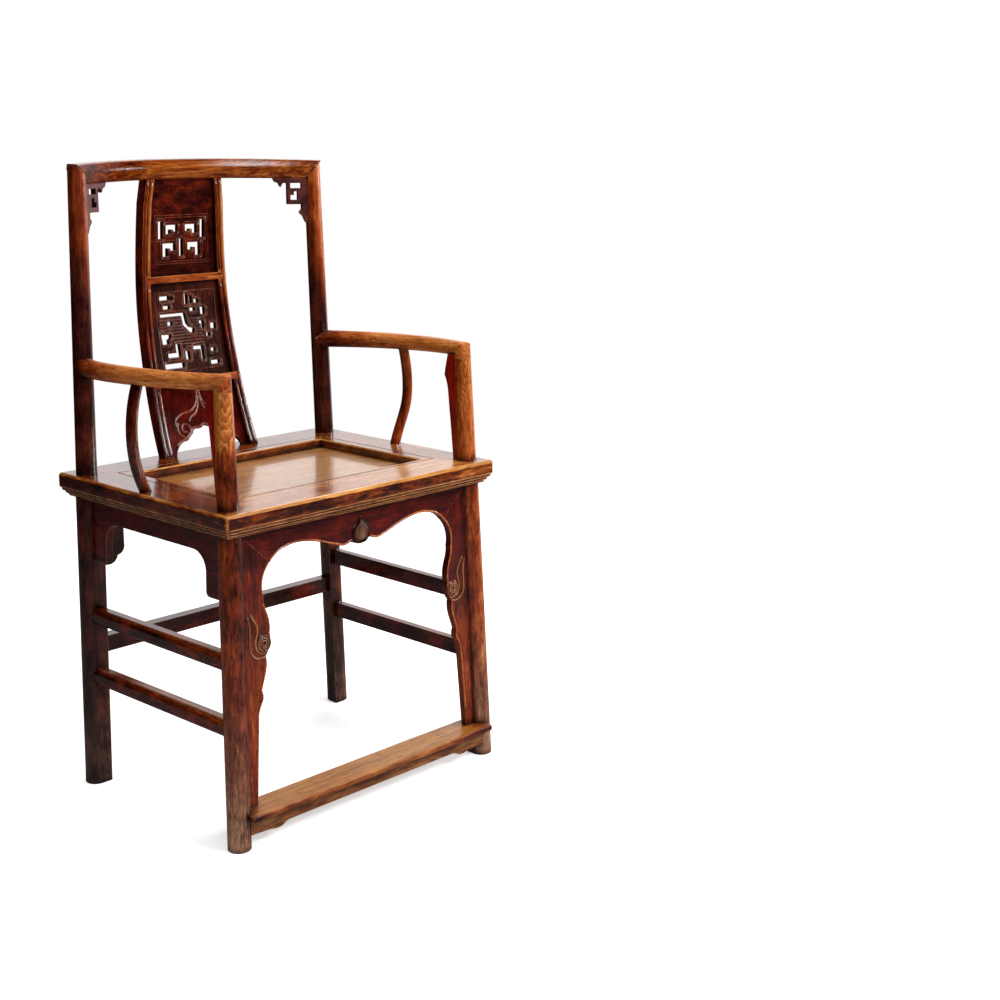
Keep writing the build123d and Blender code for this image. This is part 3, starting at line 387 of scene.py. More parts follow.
for number, node in enumerate(("seat_board_front", "seat_board_back")):
    # a clear honey brown with wide grain and a wet shine
    dress(node, lacquered_elm("sat-on elm " + node, "X", [(-0.22, 0.6), (-0.1, 0.8), (0.22, 0.95)],
                              along="X", patchy=0.4, elm=("#6b3f1a", "#a8713a", "#cc9c5e"), coat=0.8,
                              heart=(0, 0.3, 0.4), ring_mm=9, rings=0.15, seed=11 + number * 2.3))
# dry, matt and evenly golden
batten_elm = lacquered_elm("bare elm battens", "Y", [(-0.2, 0.9), (0.2, 0.9)], along="Y", gloss=0.5,
                           coat=0, seed=15)
for side in ("left", "right"):
    dress("seat_batten_" + side, batten_elm)


# ---------------------------------------------------------------- front apron and strips
# A thin elm board under the seat frame and one down each leg, cut to one arch with ogee shoulders
# and housed in the legs. A beaded lip is left standing along the curve.

CRIMSON = ("#240504", "#3f0906", "#5e1006")
# the deepest red of the chair, because nothing rubs it
dress("front_apron", lacquered_elm("crimson lacquered apron", "X", [(-0.25, 0.02), (0.25, -0.05)],
                                   along="X", lacquer=CRIMSON, patchy=0.4, edge=0.35, seed=21))
STRIP_WEAR = {"left": (0.38, 0.25), "right": (0.4, 0.0)}  # rubbed through at its foot and at the scroll
for number, (side, (at_foot, at_scroll)) in enumerate(STRIP_WEAR.items()):
    # the same red above, broken by brown near the feet of the sitter
    strip_wear = [(0, at_foot), (0.25, at_foot), (0.36, at_scroll), (0.5, 0.0)]
    dress("front_strip_" + side, lacquered_elm("lacquered strip " + side, "Z", strip_wear,
                                               lacquer=CRIMSON, edge=0.45, seed=23 + number))


def outline(node, facing, keep):
    """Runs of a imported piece's outline, seen from the way it faces, where keep says so:
    each is (points, closed), with the wood on its left."""
    mesh = wood[node].data
    spots = [tuple(round(c, 5) for c in v.co) for v in mesh.vertices]
    sides = set()
    for polygon in mesh.polygons:
        if polygon.normal.dot(facing) > 0.7:
            corners = [spots[i] for i in polygon.vertices]
            sides.update((a, b) for a, b in zip(corners, corners[1:] + corners[:1]) if a != b)
    following = {a: b for a, b in sides if (b, a) not in sides}
    runs = []
    while following:
        loop = [min(following)]
        while loop[-1] in following:
            loop.append(following.pop(loop[-1]))
        closed = loop[0] == loop[-1]
        ring = [Vector(p) for p in (loop[:-1] if closed else loop)]
        kept = [keep(p) for p in ring]
        if all(kept):
            runs.append((ring, closed))
            continue
        first = kept.index(False)
        run = []
        for step in range(len(ring) + 1):
            index = (first + step) % len(ring)
            if kept[index]:
                run.append(ring[index])
            elif run:
                runs.append((run, False))
                run = []
    return [run for run in runs if len(run[0]) > 2]


def inset(points, closed, facing, by):
    """A run moved in from its outline, which has the wood on its left."""
    return [point + facing.cross(along).normalized() * by
            for point, along in zip(points, directions(points, closed))]


SEAT_HEIGHT_MM = 544
FACE_AT_FLOOR_MM, FACE_AT_SEAT_MM = 214.5, 199  # how far the boards' face is before the seat's middle
FRONT_LEAN = (FACE_AT_FLOOR_MM - FACE_AT_SEAT_MM) / SEAT_HEIGHT_MM
FRONT_NORMAL = Vector((0, -1, FRONT_LEAN)).normalized()
UP_FRONT = Vector((0, FRONT_LEAN, 1)).normalized()
LIP_RADIUS, LIP_STEP = 0.002, 0.003
# the lip keeps clear of the leaf, of the joints between the boards, of the frame and of the foot rail
LEAF_CLEAR, JOINT_CLEAR, FRAME_CLEAR = 0.0195, 0.1915, 0.4725
STRIP_EDGE, STRIP_LOW, STRIP_HIGH = 0.2435, 0.064, 0.4525
# a thin golden line that follows the arch, rubbed by legs and cloth
lip_elm = lacquered_elm("lip worn golden", "X", [(-0.3, 0.55), (0.3, 0.75)], along="X", patchy=0.6, edge=0,
                        dirt_and_shade=0.4, seed=81)
lip_runs = outline("front_apron", FRONT_NORMAL,
                   lambda p: p.z < FRAME_CLEAR and LEAF_CLEAR < abs(p.x) < JOINT_CLEAR)
for side in ("left", "right"):
    lip_runs += outline("front_strip_" + side, FRONT_NORMAL,
                        lambda p: STRIP_LOW < p.z < STRIP_HIGH and abs(p.x) < STRIP_EDGE)
lips = []
for points, closed in lip_runs:
    spaced = even(points, closed, LIP_STEP)
    lips.append((inset(spaced, closed, FRONT_NORMAL, LIP_RADIUS), closed, FRONT_NORMAL))
raised("apron_lip", lips, LIP_RADIUS, lip_elm, sink=0.45)


# ---------------------------------------------------------------- volutes on the strips
# Each strip's shoulder ends in a scroll, carved in relief on the same board: two stems come down
# from the arch and wind into a scroll, which stands on a low boss of three rings.

def on_apron(x_mm, height_mm):
    """Place on the leaning front face of the apron and strips, from a width and a length up it."""
    return Vector((x_mm / 1000, SEAT_Y - FACE_AT_FLOOR_MM / 1000, 0)) + UP_FRONT * (height_mm / 1000)


SPAN_STEPS = 8


def curve_through(points):
    """A smooth curve through these points."""
    ends = [points[0] * 2 - points[1], *points, points[-1] * 2 - points[-2]]
    made = []
    for a, b, c, d in zip(ends, ends[1:], ends[2:], ends[3:]):
        for step in range(SPAN_STEPS):
            t = step / SPAN_STEPS
            made.append((b * 2 + (c - a) * t + (a * 2 - b * 5 + c * 4 - d) * t * t
                         + (b * 3 - a - c * 3 + d) * t ** 3) / 2)
    return made + [points[-1]]


def spiral(middle, mirror, start, turns, reaches, count, draws_in=1.0):
    """Places, in millimetres, on a spiral that starts at this many degrees round its middle and winds
    in from the first reach to the second."""
    widest, tightest = reaches
    made = []
    for step in range(count):
        part = step / (count - 1)
        angle = math.radians(start) + part * turns * 2 * math.pi
        reach = widest + (tightest - widest) * part ** draws_in
        made.append((mirror * (middle[0] - reach * math.cos(angle)), middle[1] + reach * math.sin(angle)))
    return made


EYE_MM = (211, 323)
STEMS_MM = (
    [(236, 376), (228, 363), (222.5, 351), (224, 339), (227, 329.5), (226, 318), (219, 309.5), (206, 306)],
    [(241, 372), (237, 352), (238.5, 330), (237.5, 315), (229, 303.5), (218, 300.5), (208, 301.5)],
)
SCROLL_START, SCROLL_TURNS = -100, -2.3
SCROLL_MM = (12.2, 2.2)  # from the eye's middle to the scroll's outer and inner end
BOSS_RINGS_MM = (12.5, 8.5, 4.5)
RING_POINTS = 32
STEM_RADIUS, SCROLL_RADIUS, BOSS_RADIUS = 0.0022, 0.0017, 0.0024
# soft brown ridges, polished by shins, with dirt and painted shade beside them
volute_elm = lacquered_elm("volute, polished by shins", "Z", [(0.25, 0.8), (0.4, 0.8)], patchy=0.4, edge=0,
                           elm=("#4a2410", "#86522c", "#b07c4c"), dirt_and_shade=0.9, seed=83)
# what shows between the scroll's turns: greyer, and darker as painted shade, so that they stand out
volute_hollow = lacquered_elm("volute hollows, grey lacquer and painted shade", "Z", [(0.25, 0.2), (0.4, 0.2)],
                              patchy=0.4, edge=0, lacquer=("#2c1610", "#4d2d1f", "#6b4532"), dirt_and_shade=0.9,
                              seed=84)
for side, mirror in (("left", -1), ("right", 1)):
    stems = [(curve_through([on_apron(mirror * x, z) for x, z in stem]), False, FRONT_NORMAL)
             for stem in STEMS_MM]
    raised("volute_stem_" + side, stems, STEM_RADIUS, volute_elm, sink=0.35)
    scroll = [on_apron(x, z) for x, z in spiral(EYE_MM, mirror, SCROLL_START, SCROLL_TURNS, SCROLL_MM, 73,
                                                draws_in=0.8)]
    raised("volute_" + side, [(scroll, False, FRONT_NORMAL)], SCROLL_RADIUS, volute_elm,
           sink=-0.5)
    rings = []
    for reach in BOSS_RINGS_MM:
        turns = [2 * math.pi * step / RING_POINTS for step in range(RING_POINTS)]
        rings.append(([on_apron(mirror * (EYE_MM[0] + reach * math.cos(turn)),
                                EYE_MM[1] + reach * math.sin(turn)) for turn in turns], True, FRONT_NORMAL))
    raised("volute_boss_" + side, rings, BOSS_RADIUS, volute_hollow, sink=0.25)


# ---------------------------------------------------------------- leaf on the apron
# A small drooping leaf at the arch's crown, carved in low relief from the apron's own board.
# Its middle is highest, and five fine veins fan out over it.

LEAF_HALF_MM = [(0, 489), (5, 482), (16, 471.5), (17, 461), (12.2, 450.6), (0, 447)]
LEAF_CROWN_MM = (0, 465)
RIM_HIGH, CROWN_HIGH, BELLY, VEIN_HIGH = 0.0021, 0.0034, 0.0013, 0.0028
VEINS_MM = (((0, 450), (0, 460), (0, 484)), ((5, 450), (9, 460), (6, 476)),
            ((9.5, 450), (14, 460), (11, 469)))
VEIN_RADIUS = 0.0009
# grey-brown and dull beside the crimson board, as carving that wax never reaches
leaf_wood = lacquered_elm("leaf, lacquer dulled grey", "Z", [(0.44, 0.0), (0.5, 0.0)], patchy=0.3,
                          edge=0.3, elm=("#4b3226", "#7d5a48", "#a48068"),
                          lacquer=("#3a2219", "#60402f", "#805c48"), amber="#c8a08c", scuffs=0.2, seed=85)
leaf_edge = LEAF_HALF_MM + [(-x, z) for x, z in reversed(LEAF_HALF_MM[1:-1])]
rim = curve_through([on_apron(x, z) + FRONT_NORMAL * RIM_HIGH for x, z in leaf_edge + leaf_edge[:1]])[:-1]
crown = on_apron(*LEAF_CROWN_MM) + FRONT_NORMAL * CROWN_HIGH
rows = [[crown.lerp(point, share) + FRONT_NORMAL * BELLY * (share - share ** 3) for point in rim]
        for share in (0.33, 0.66, 1.0)]
count = len(rim)
faces = [(0, 1 + i, 1 + (i + 1) % count) for i in range(count)]
for ring in range(2):
    first, second = 1 + ring * count, 1 + (ring + 1) * count
    faces += [(first + i, second + i, second + (i + 1) % count, first + (i + 1) % count)
              for i in range(count)]
faces.append(tuple(1 + 2 * count + i for i in reversed(range(count))))
trim("apron_leaf", [crown] + rows[0] + rows[1] + rows[2], faces, leaf_wood)
veins = []
for vein in VEINS_MM:
    for mirror in (-1, 1) if vein[0][0] else (1,):
        points = [on_apron(mirror * x, z) + FRONT_NORMAL * VEIN_HIGH for x, z in vein]
        veins.append((curve_through(points), False, FRONT_NORMAL))
raised("apron_leaf_veins", veins, VEIN_RADIUS, leaf_wood, sink=0.6)


# ---------------------------------------------------------------- side and back aprons
# Three more thin elm boards under the seat rails, cut to plainer curves.
# They are housed in the legs, as the front one is, and nobody's legs rub them.

for number, side in enumerate(("left", "right")):
    # even dark crimson, bare only along the cut edge
    dress("side_apron_" + side, lacquered_elm("crimson side apron " + side, "Y", [(-0.2, 0), (0.2, 0)],
                                              along="Y", lacquer=CRIMSON, patchy=0.4, seed=26 + number))
dress("back_apron", lacquered_elm("crimson back apron", "X", [(-0.25, 0), (0.25, 0)], along="X",
                                  lacquer=CRIMSON, patchy=0.4, seed=29))


# ---------------------------------------------------------------- stretchers
# Plain elm rails tenoned between the legs, two on each side and one at the back.
# They keep the legs from spreading, and only their tops are scuffed.

STRETCHER_WEAR = {"left": [(-0.2, 0.35), (0.2, 0.0)], "right": [(-0.2, 0), (0.2, 0)]}
for number, (side, wear) in enumerate(STRETCHER_WEAR.items()):
    for level, row in enumerate(("upper", "lower")):
        order = number * 2 + level
        # dark red rails, amber on top, and on the left one towards the front leg too; the tops are also
        # lightened, and the undersides and faces turned left darkened, as painted light and shade
        dress("side_stretcher_" + row + "_" + side,
              lacquered_elm("lacquered stretcher " + str(order), "Y", wear, along="Y",
                            facing=(0.1, 0, 0.35), patchy=0.6, seed=31 + order))
# the same red, nearly whole
dress("back_stretcher", lacquered_elm("lacquered back stretcher", "X", [(-0.25, 0.05), (0.25, 0.05)],
                                      along="X", facing=(0, 0, 0.15), patchy=0.35, seed=37))


# ---------------------------------------------------------------- foot rail
# A flat elm board laid between the front legs as a footrest, with a low apron under it.
# Feet have worn all but its ends to bare wood.

# matt golden wood with dark scuffs, and lacquer left only at the ends
dress("foot_rail", lacquered_elm("foot-worn elm rail", "X",
                                 [(-0.27, 0.35), (-0.23, 0.8), (0.12, 0.95), (0.27, 0.5)], along="X",
                                 facing=(0, 0.35, 0.1), patchy=0.6, elm=("#5c300e", "#ad6c2a", "#d69a4c"),
                                 gloss=0.3, coat=0, rings=0.05, edge=0.5, seed=41))
# a duller brown than the rail, blotched with old lacquer
dress("foot_rail_apron", lacquered_elm("worn elm foot apron", "X", [(-0.27, 0.7), (0.27, 0.7)], along="X",
                                       patchy=0.9, elm=("#4a2409", "#825020", "#a36d38"), gloss=0.36,
                                       coat=0, rings=0.05, seed=43))


# ---------------------------------------------------------------- arms
# Round elm rods bowed outward, whose front ends turn down onto the arm posts. Each stands on a slim
# curved strut too, and a small cusped bracket is let in behind its post.

ARM_WEAR = [(-0.21, 0.6), (-0.15, 0.9), (-0.08, 1.0), (0.02, 0.8), (0.1, 0.45), (0.19, 0.0)]
STRUT_WEAR_AND_LIGHT = {"left": 0.2, "right": 0.42}
for number, side in enumerate(("left", "right")):
    # bright golden where hands lie, fading to dark red near the back post
    dress("arm_" + side, lacquered_elm("hand-polished arm " + side, "Y", ARM_WEAR, along="Y",
                                       facing=(0, 0, 0.2), patchy=0.7, gloss=0.3, coat=0, shine=0.25,
                                       elm=("#7a3610", "#bd6a28", "#e49e54"), seed=45 + number * 3))
    # glossy dark red, a little ambered towards the front and darker on the faces turned left, as
    # painted light and shade; the right strut is lighter, partly as painted light
    dress("arm_strut_" + side, lacquered_elm("lacquered strut " + side, "Z",
                                             [(0.5, STRUT_WEAR_AND_LIGHT[side]), (0.72, STRUT_WEAR_AND_LIGHT[side])],
                                             facing=(0.15, -0.1, 0), patchy=0.4, gloss=0.14, coat=0.5,
                                             seed=51 + number))
    # a clear bright red, of lacquer in a corner that nothing has touched
    dress("arm_bracket_" + side, lacquered_elm("crimson arm bracket " + side, "Z", [(0.5, 0), (0.72, 0)],
                                               lacquer=("#5e0906", "#861209", "#a2200f"), patchy=0.3,
                                               dirt_and_shade=0.4, seed=53 + number))


# ---------------------------------------------------------------- crest rail
# One elm rail bowed back between the posts, with a ridge along its front and mitred ends that turn
# down onto them. A small pierced bracket fills each corner beside the splat.

# long streaks of amber and brown wood that catch a sharp light along the ridge
dress("crest_rail", lacquered_elm("hand-polished crest rail", "X",
                                  [(-0.27, 0.35), (-0.19, 0.4), (-0.12, 0.52), (0.27, 0.58)], along="X",
                                  elm=("#4c1e08", "#8c4a18", "#c6853a"), patchy=0.9, stretch=0.035,
                                  gloss=0.05, coat=0, shine=0.3, edge=0.3, edge_mm=5, seed=57))
for number, side in enumerate(("left", "right")):
    # dull brick red, a little greyed
    dress("crest_bracket_" + side, lacquered_elm("dull lacquered bracket " + side, "X",
                                                 [(-0.3, 0.0), (0.3, 0.0)], along="X",
                                                 lacquer=("#2a0d0a", "#521d16", "#74362a"), patchy=0.3,
                                                 gloss=0.3, coat=0.1, edge=0.4, seed=61 + number))


# ---------------------------------------------------------------- splat stiles
# Two elm uprights, curved to the sitter's back and tenoned in the seat frame and the crest rail.
# Two round reeds are worked down the face of each, and the inner one stops at the cross rails.

STILE_LACQUER = ("#1a0504", "#481009", "#7c2814")
STILE_WEAR = [(0.54, 0.1), (0.78, 0.1), (0.85, 0.65), (0.96, 0.8), (1.03, 0.5)]
GOLDEN_WEAR_AND_HIGHLIGHT = [(0.54, 0.25), (0.78, 0.3), (0.85, 0.75), (0.94, 0.95), (1.0, 0.8), (1.03, 0.5)]
for number, side in enumerate(("left", "right")):
    # glossy dark red, rubbed golden higher up by the sitter's back, with the faces turned left
    # darkened and those turned right lightened as painted shade and light
    dress("splat_stile_" + side, lacquered_elm("reeded stile " + side, "Z", STILE_WEAR, facing=(0.6, 0, 0),
                                               patchy=0.4, edge=0.3, gloss=0.14, coat=0.6,
                                               lacquer=STILE_LACQUER, seed=63 + number))


def front_of(node):
    """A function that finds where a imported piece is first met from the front, at a width and height."""
    mesh = wood[node].data
    shape = BVHTree.FromPolygons([v.co for v in mesh.vertices], [tuple(f.vertices) for f in mesh.polygons])
    return lambda x, z: shape.ray_cast(Vector((x, -1, z)), Vector((0, 1, 0)))[0]


def unbroken(points, fewest):
    """The runs of at least this many points between the gaps, which are None."""
    runs, run = [], []
    for point in [*points, None]:
        if point is not None:
            run.append(point)
            continue
        if len(run) >= fewest:
            runs.append(run)
        run = []
    return runs


TO_FRONT = Vector((0, -1, 0))
REED_RADIUS = 0.0032
REED_STEP = 0.006
OUTER_REED, INNER_REED = 0.0035, 0.0127  # from the stile's outer edge to the middle of each reed
REED_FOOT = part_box("seat_frame_back")[1].z + 0.002
REED_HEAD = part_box("crest_rail")[0].z + 0.006
STILE_EDGE_WITHIN, NEAR_ENOUGH = (0.07, 0.11), 0.00002
RAIL_LAPS = [(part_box(node)[0].z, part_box(node)[1].z) for node in ("splat_rail_lower", "splat_rail_upper")]
LAP_GAP = 0.001


def reed(side, mirror, middle, broken):
    """Runs up the front of a stile, this far in from its outer edge, broken or not at the rails."""
    meets = front_of("splat_stile_" + side)
    points = []
    z = REED_FOOT
    while z < REED_HEAD:
        inside, outside = STILE_EDGE_WITHIN
        while outside - inside > NEAR_ENOUGH:
            edge = (inside + outside) / 2
            if meets(mirror * edge, z):
                inside = edge
            else:
                outside = edge
        at_rail = broken and any(low - LAP_GAP < z < high + LAP_GAP for low, high in RAIL_LAPS)
        points.append(None if at_rail else meets(mirror * (inside - middle), z))
        z += REED_STEP
    return [(run, False, TO_FRONT) for run in unbroken(points, 3)]


# a long golden reed, rubbed by the back and lightened further as a painted highlight, with a wet
# shine, and beside it a red one
golden_highlit_reed = lacquered_elm("reed rubbed golden by the back, with painted highlight", "Z", GOLDEN_WEAR_AND_HIGHLIGHT, lacquer=STILE_LACQUER,
                            patchy=0.4, edge=0, gloss=0.14, coat=1.0, seed=97)
red_reed = lacquered_elm("lacquered reed", "Z", [(0.54, 0.1), (0.8, 0.15), (1.03, 0.25)],
                         lacquer=STILE_LACQUER, patchy=0.4, edge=0, gloss=0.14, coat=0.6, seed=98)
for side, mirror, outer_finish, inner_finish in (("left", -1, red_reed, golden_highlit_reed),
                                                 ("right", 1, golden_highlit_reed, red_reed)):
    raised("outer_reed_" + side, reed(side, mirror, OUTER_REED, False), REED_RADIUS, outer_finish,
           sink=0.55)
    raised("inner_reed_" + side, reed(side, mirror, INNER_REED, True), REED_RADIUS, inner_finish,
           sink=0.55)


# ---------------------------------------------------------------- splat cross rails
# Two short elm rails tenoned between the stiles, one above the other.
# They part the splat into its three panels.

for number, node in enumerate(("splat_rail_upper", "splat_rail_lower")):
    # amber and brown in patches, as its front is what the back rubs first
    dress(node, lacquered_elm("worn cross rail " + node, "X", [(-0.1, 0.5), (0.1, 0.6)], along="X",
                              edge=0.5, seed=67 + number))


# ---------------------------------------------------------------- fret panel
# The splat's upper panel: a thin elm board sawn through in a key fret inside a plain border.
# A fine ridge follows every opening, and two more square off the border.

# red-brown lacquer with a silky face, a little rubbed
dress("splat_fret_panel", lacquered_elm("lacquered fret panel", "X",
                                        [(0.85, 0.0), (0.95, 0.05), (1.02, 0.1)], stretch=0.5,
                                        lacquer=("#120404", "#380c07", "#62180a"), gloss=0.14, coat=0,
                                        seed=71))

STEP_DEPTH = 0.001
OPENING_STEP = 0.0025
PANEL_RIM, OPENINGS_WITHIN = 0.006, 0.066  # openings keep clear of a panel's ends and of its sides


def carved_lines(node, clear_mm, drawn, insets, radius, material):
    """Ridges along every opening of a panel, at these insets, and along the lines drawn over it in
    millimetres. At the clear width the panel has wood at every height, which gives its face."""
    meets = front_of(node)

    def on_face(x, z):
        """The place on the panel's face, or None over an opening or a lower step."""
        found, face = meets(x, z), meets(clear_mm / 1000, z)
        if found is None or face is None or abs(found.y - face.y) >= STEP_DEPTH:
            return None
        return Vector((x, face.y, z))

    low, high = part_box(node)
    openings = outline(node, TO_FRONT, lambda p: (low.z + PANEL_RIM < p.z < high.z - PANEL_RIM
                                                  and abs(p.x) < OPENINGS_WITHIN))
    ridges = []
    for points, closed in openings:
        for by in insets:
            moved = inset(even(points, closed, OPENING_STEP), closed, TO_FRONT, by)
            ridges += unbroken([on_face(point.x, point.z) for point in moved + moved[:1] * closed], 4)
    for line in drawn:
        ridges += unbroken([on_face(x / 1000, z / 1000) for x, z in line], 3)
    raised(node + "_carving", [(run, False, TO_FRONT) for run in ridges], radius, material,
           sink=0.25)


BORDER_STEP_MM = 2


def border(left, low, right, high):
    """Points along the four sides of a carved border, in millimetres."""
    corners = [(left, low), (right, low), (right, high), (left, high), (left, low)]
    made = []
    for (x0, z0), (x1, z1) in zip(corners, corners[1:]):
        count = max(1, round(math.hypot(x1 - x0, z1 - z0) / BORDER_STEP_MM))
        made += [(x0 + (x1 - x0) * i / count, z0 + (z1 - z0) * i / count) for i in range(count)]
    return made + [corners[-1]]


FRET_CLEAR_MM = 56
FRET_BORDERS_MM = ((-56, 873, 57, 957.5), (-52, 877, 53, 953.5))
FRET_INSETS = (0.0015, 0.0048)
FINE_RIDGE = 0.0011
# a shade lighter than the board, so that the fret reads as double lines
fret_wood = lacquered_elm("fret ridges rubbed by the back", "Z", [(0.85, 0.3), (0.98, 0.35)],
                          lacquer=("#1c0605", "#3d120b", "#5e2010"), edge=0.1, dirt_and_shade=0.5, seed=91)
carved_lines("splat_fret_panel", FRET_CLEAR_MM, [border(*sides) for sides in FRET_BORDERS_MM],
             FRET_INSETS, FINE_RIDGE, fret_wood)


# ---------------------------------------------------------------- dragon panel
# The middle panel: a thin elm board pierced in the coils of a young dragon, inside a border.
# The carver rounded the coils with ridges and cut overlapping scales on the body.

# nearly black red, matt between the coils
dress("splat_dragon_panel", lacquered_elm("dark carved panel", "Z", [(0.66, 0.0), (0.85, 0.05)],
                                          patchy=0.4, lacquer=("#120504", "#30100a", "#541e12"), dirt_and_shade=0.9,
                                          coat=0, shine=0.3, seed=73))
DRAGON_CLEAR_MM = 68
DRAGON_BORDER_MM = (-61, 685, 67, 824)
DRAGON_INSETS = (0.0014, 0.0044)
SCALE_WIDE_MM, SCALE_HIGH_MM, SCALE_ARC_MM = 4.4, 5.4, 2.1
SCALES_LEFT_MM, SCALES_LOW_MM = -56, 722
SCALE_ROWS, SCALE_COLUMNS = 11, 28
BREAST_MM, BREAST_SLANT = 14, 0.35  # the body's right outline, which leans in as it rises
BEND_MM = 34  # the right outline of the bend beside it
BACK_MM, BACK_SLANT = (-57, 750), 0.45  # the lower outline, which falls away to the right


def on_body(x, z):
    """Whether a scale at this place lies on the dragon's body."""
    on_breast = x < BREAST_MM - (z - SCALES_LOW_MM) * BREAST_SLANT
    above_back = z > BACK_MM[1] - (x - BACK_MM[0]) * BACK_SLANT
    return (on_breast or BREAST_MM < x < BEND_MM) and above_back


scales = []
for row in range(SCALE_ROWS):
    for column in range(SCALE_COLUMNS):
        x = SCALES_LEFT_MM + column * SCALE_WIDE_MM + (row % 2) * SCALE_WIDE_MM / 2
        z = SCALES_LOW_MM + row * SCALE_HIGH_MM
        if on_body(x, z):
            scales.append([(x - SCALE_ARC_MM * math.cos(math.radians(t)),
                            z - SCALE_ARC_MM * math.sin(math.radians(t))) for t in range(0, 181, 30)])
# dull brown lines that pick the coils and scales out of the dark
dragon_wood = lacquered_elm("dragon, lacquer dulled brown", "Z", [(0.66, 0.1), (0.85, 0.1)], patchy=0.4,
                            lacquer=("#321712", "#5c3022", "#7e4a34"), edge=0.1, dirt_and_shade=0.6, seed=93)
carved_lines("splat_dragon_panel", DRAGON_CLEAR_MM, [border(*DRAGON_BORDER_MM), *scales],
             DRAGON_INSETS, FINE_RIDGE, dragon_wood)


# ---------------------------------------------------------------- cloud panel
# The foot panel: an elm board over a small arch, carved with a pair of cloud scrolls that meet in
# the middle. It sits between the stiles and stands on the back seat rail.

# deep even crimson that hardly shines, out of reach of hands and cloth
dress("splat_cloud_panel", lacquered_elm("crimson cloud panel", "Z", [(0.54, 0.05), (0.68, 0.05)],
                                         patchy=0.4, lacquer=("#1e0302", "#3c0503", "#5a0a03"), gloss=0.12,
                                         coat=0, shine=0.12, scuffs=0.2, seed=75))
CLOUD_CLEAR_MM = 80
CLOUD_RIDGE = 0.0026  # the ridge's radius, and its place in from the opening's edge
CLOUD_EYE_MM = (42, 585)
CLOUD_START, CLOUD_TURNS = 130, 1.5
CLOUD_SCROLL_MM = (17, 3.5)  # from the eye's middle to the scroll's outer and inner end
CLOUD_SWEEPS_MM = (
    ((60, 592), (57, 603), (42, 611.5), (22, 615), (10, 624), (3.5, 640), (1.5, 658)),
    ((30, 597), (24, 604), (13, 610), (5, 622), (1, 640)),
)
clouds = []
for mirror in (-1, 1):
    clouds.append(spiral(CLOUD_EYE_MM, mirror, CLOUD_START, CLOUD_TURNS, CLOUD_SCROLL_MM, 61))
    for sweep in CLOUD_SWEEPS_MM:
        clouds.append(curve_through([Vector((mirror * x, z)) for x, z in sweep]))
# broad brown ridges, rubbed a little by the sitter's clothes and lightened as a painted highlight
cloud_wood = lacquered_elm("cloud ridges worn brown, with painted highlight", "Z", [(0.54, 0.2), (0.66, 0.1)], patchy=0.4,
                           lacquer=("#3a0f08", "#6a2a1c", "#8a4a34"), edge=0.2, dirt_and_shade=0.5, seed=95)
carved_lines("splat_cloud_panel", CLOUD_CLEAR_MM, clouds, (CLOUD_RIDGE,), CLOUD_RIDGE, cloud_wood)


# ---------------------------------------------------------------- floor, studio and camera
# A sheet of pale paper under the chair, five soft boxes round it and a pale backdrop behind.
# The boxes are cloth over a lamp, so that they give wide highlights and soft shadows.

FLOOR_HALF = 1.9
floor_mesh = bpy.data.meshes.new("floor")
floor_mesh.from_pydata([(-FLOOR_HALF, -FLOOR_HALF, 0), (FLOOR_HALF, -FLOOR_HALF, 0),
                        (FLOOR_HALF, FLOOR_HALF, 0), (-FLOOR_HALF, FLOOR_HALF, 0)], [], [(0, 1, 2, 3)])
floor = bpy.data.objects.new("floor", floor_mesh)
bpy.context.scene.collection.objects.link(floor)
# matt white to the eye, lifted to white paper, and dim in the lacquer's reflections
pale = bpy.data.materials.new("pale paper sweep")
pale.use_nodes = True
tree = pale.node_tree
tree.nodes.clear()
path = add(tree, "LightPath")
tint = add(tree, "Mix", {"Factor": path.outputs["Is Glossy Ray"], "A": (0.9, 0.9, 0.9, 1),
                         "B": (0.12, 0.12, 0.12, 1)}, data_type="RGBA")
paper = add(tree, "BsdfDiffuse", {"Color": tint.outputs["Result"]})
glow = add(tree, "Emission", {"Color": (1, 1, 1, 1), "Strength": 0.45})
nothing = add(tree, "Emission", {"Strength": 0})
lift = add(tree, "MixShader", {0: path.outputs["Is Camera Ray"], 1: nothing.outputs["Emission"],
                               2: glow.outputs["Emission"]})
both = add(tree, "AddShader", {0: paper.outputs["BSDF"], 1: lift.outputs["Shader"]})
add(tree, "OutputMaterial", {"Surface": both.outputs["Shader"]})
floor_mesh.materials.append(pale)

# white to the eye, a bright backdrop to reflections, and a soft fill from the front to the wood
TO_BACKDROP = (0.896, 0.432, 0.1)  # past the chair's right back corner
TO_KEY = (0.45, -0.6, 0.66)  # up and out over the front seat rail
world = bpy.data.worlds.new("studio")
bpy.context.scene.world = world
world.use_nodes = True
tree = world.node_tree
tree.nodes.clear()
path = add(tree, "LightPath")
direction = add(tree, "TexCoord").outputs["Generated"]
towards_backdrop = add(tree, "VectorMath", {0: direction, 1: TO_BACKDROP}, operation="DOT_PRODUCT")
backdrop = add(tree, "MapRange", {"Value": towards_backdrop.outputs["Value"], "From Min": 0.7,
                                  "From Max": 0.85, "To Min": 0.0, "To Max": 1.1},
               interpolation_type="SMOOTHSTEP")
from_key = add(tree, "VectorMath", {0: direction, 1: TO_KEY}, operation="DOT_PRODUCT")
fill = add(tree, "MapRange", {"Value": from_key.outputs["Value"], "From Min": -0.6, "From Max": 1.0,
                              "To Min": 0.08, "To Max": 0.75})
mirrored = add(tree, "Mix", {"Factor": path.outputs["Is Glossy Ray"], "A": fill.outputs["Result"],
                             "B": backdrop.outputs["Result"]})
strength = add(tree, "Mix", {"Factor": path.outputs["Is Camera Ray"], "A": mirrored.outputs["Result"],
                             "B": 1.0})
sky = add(tree, "Background", {"Color": (1, 1, 1, 1), "Strength": strength.outputs["Result"]})
add(tree, "OutputWorld", {"Surface": sky.outputs["Background"]})


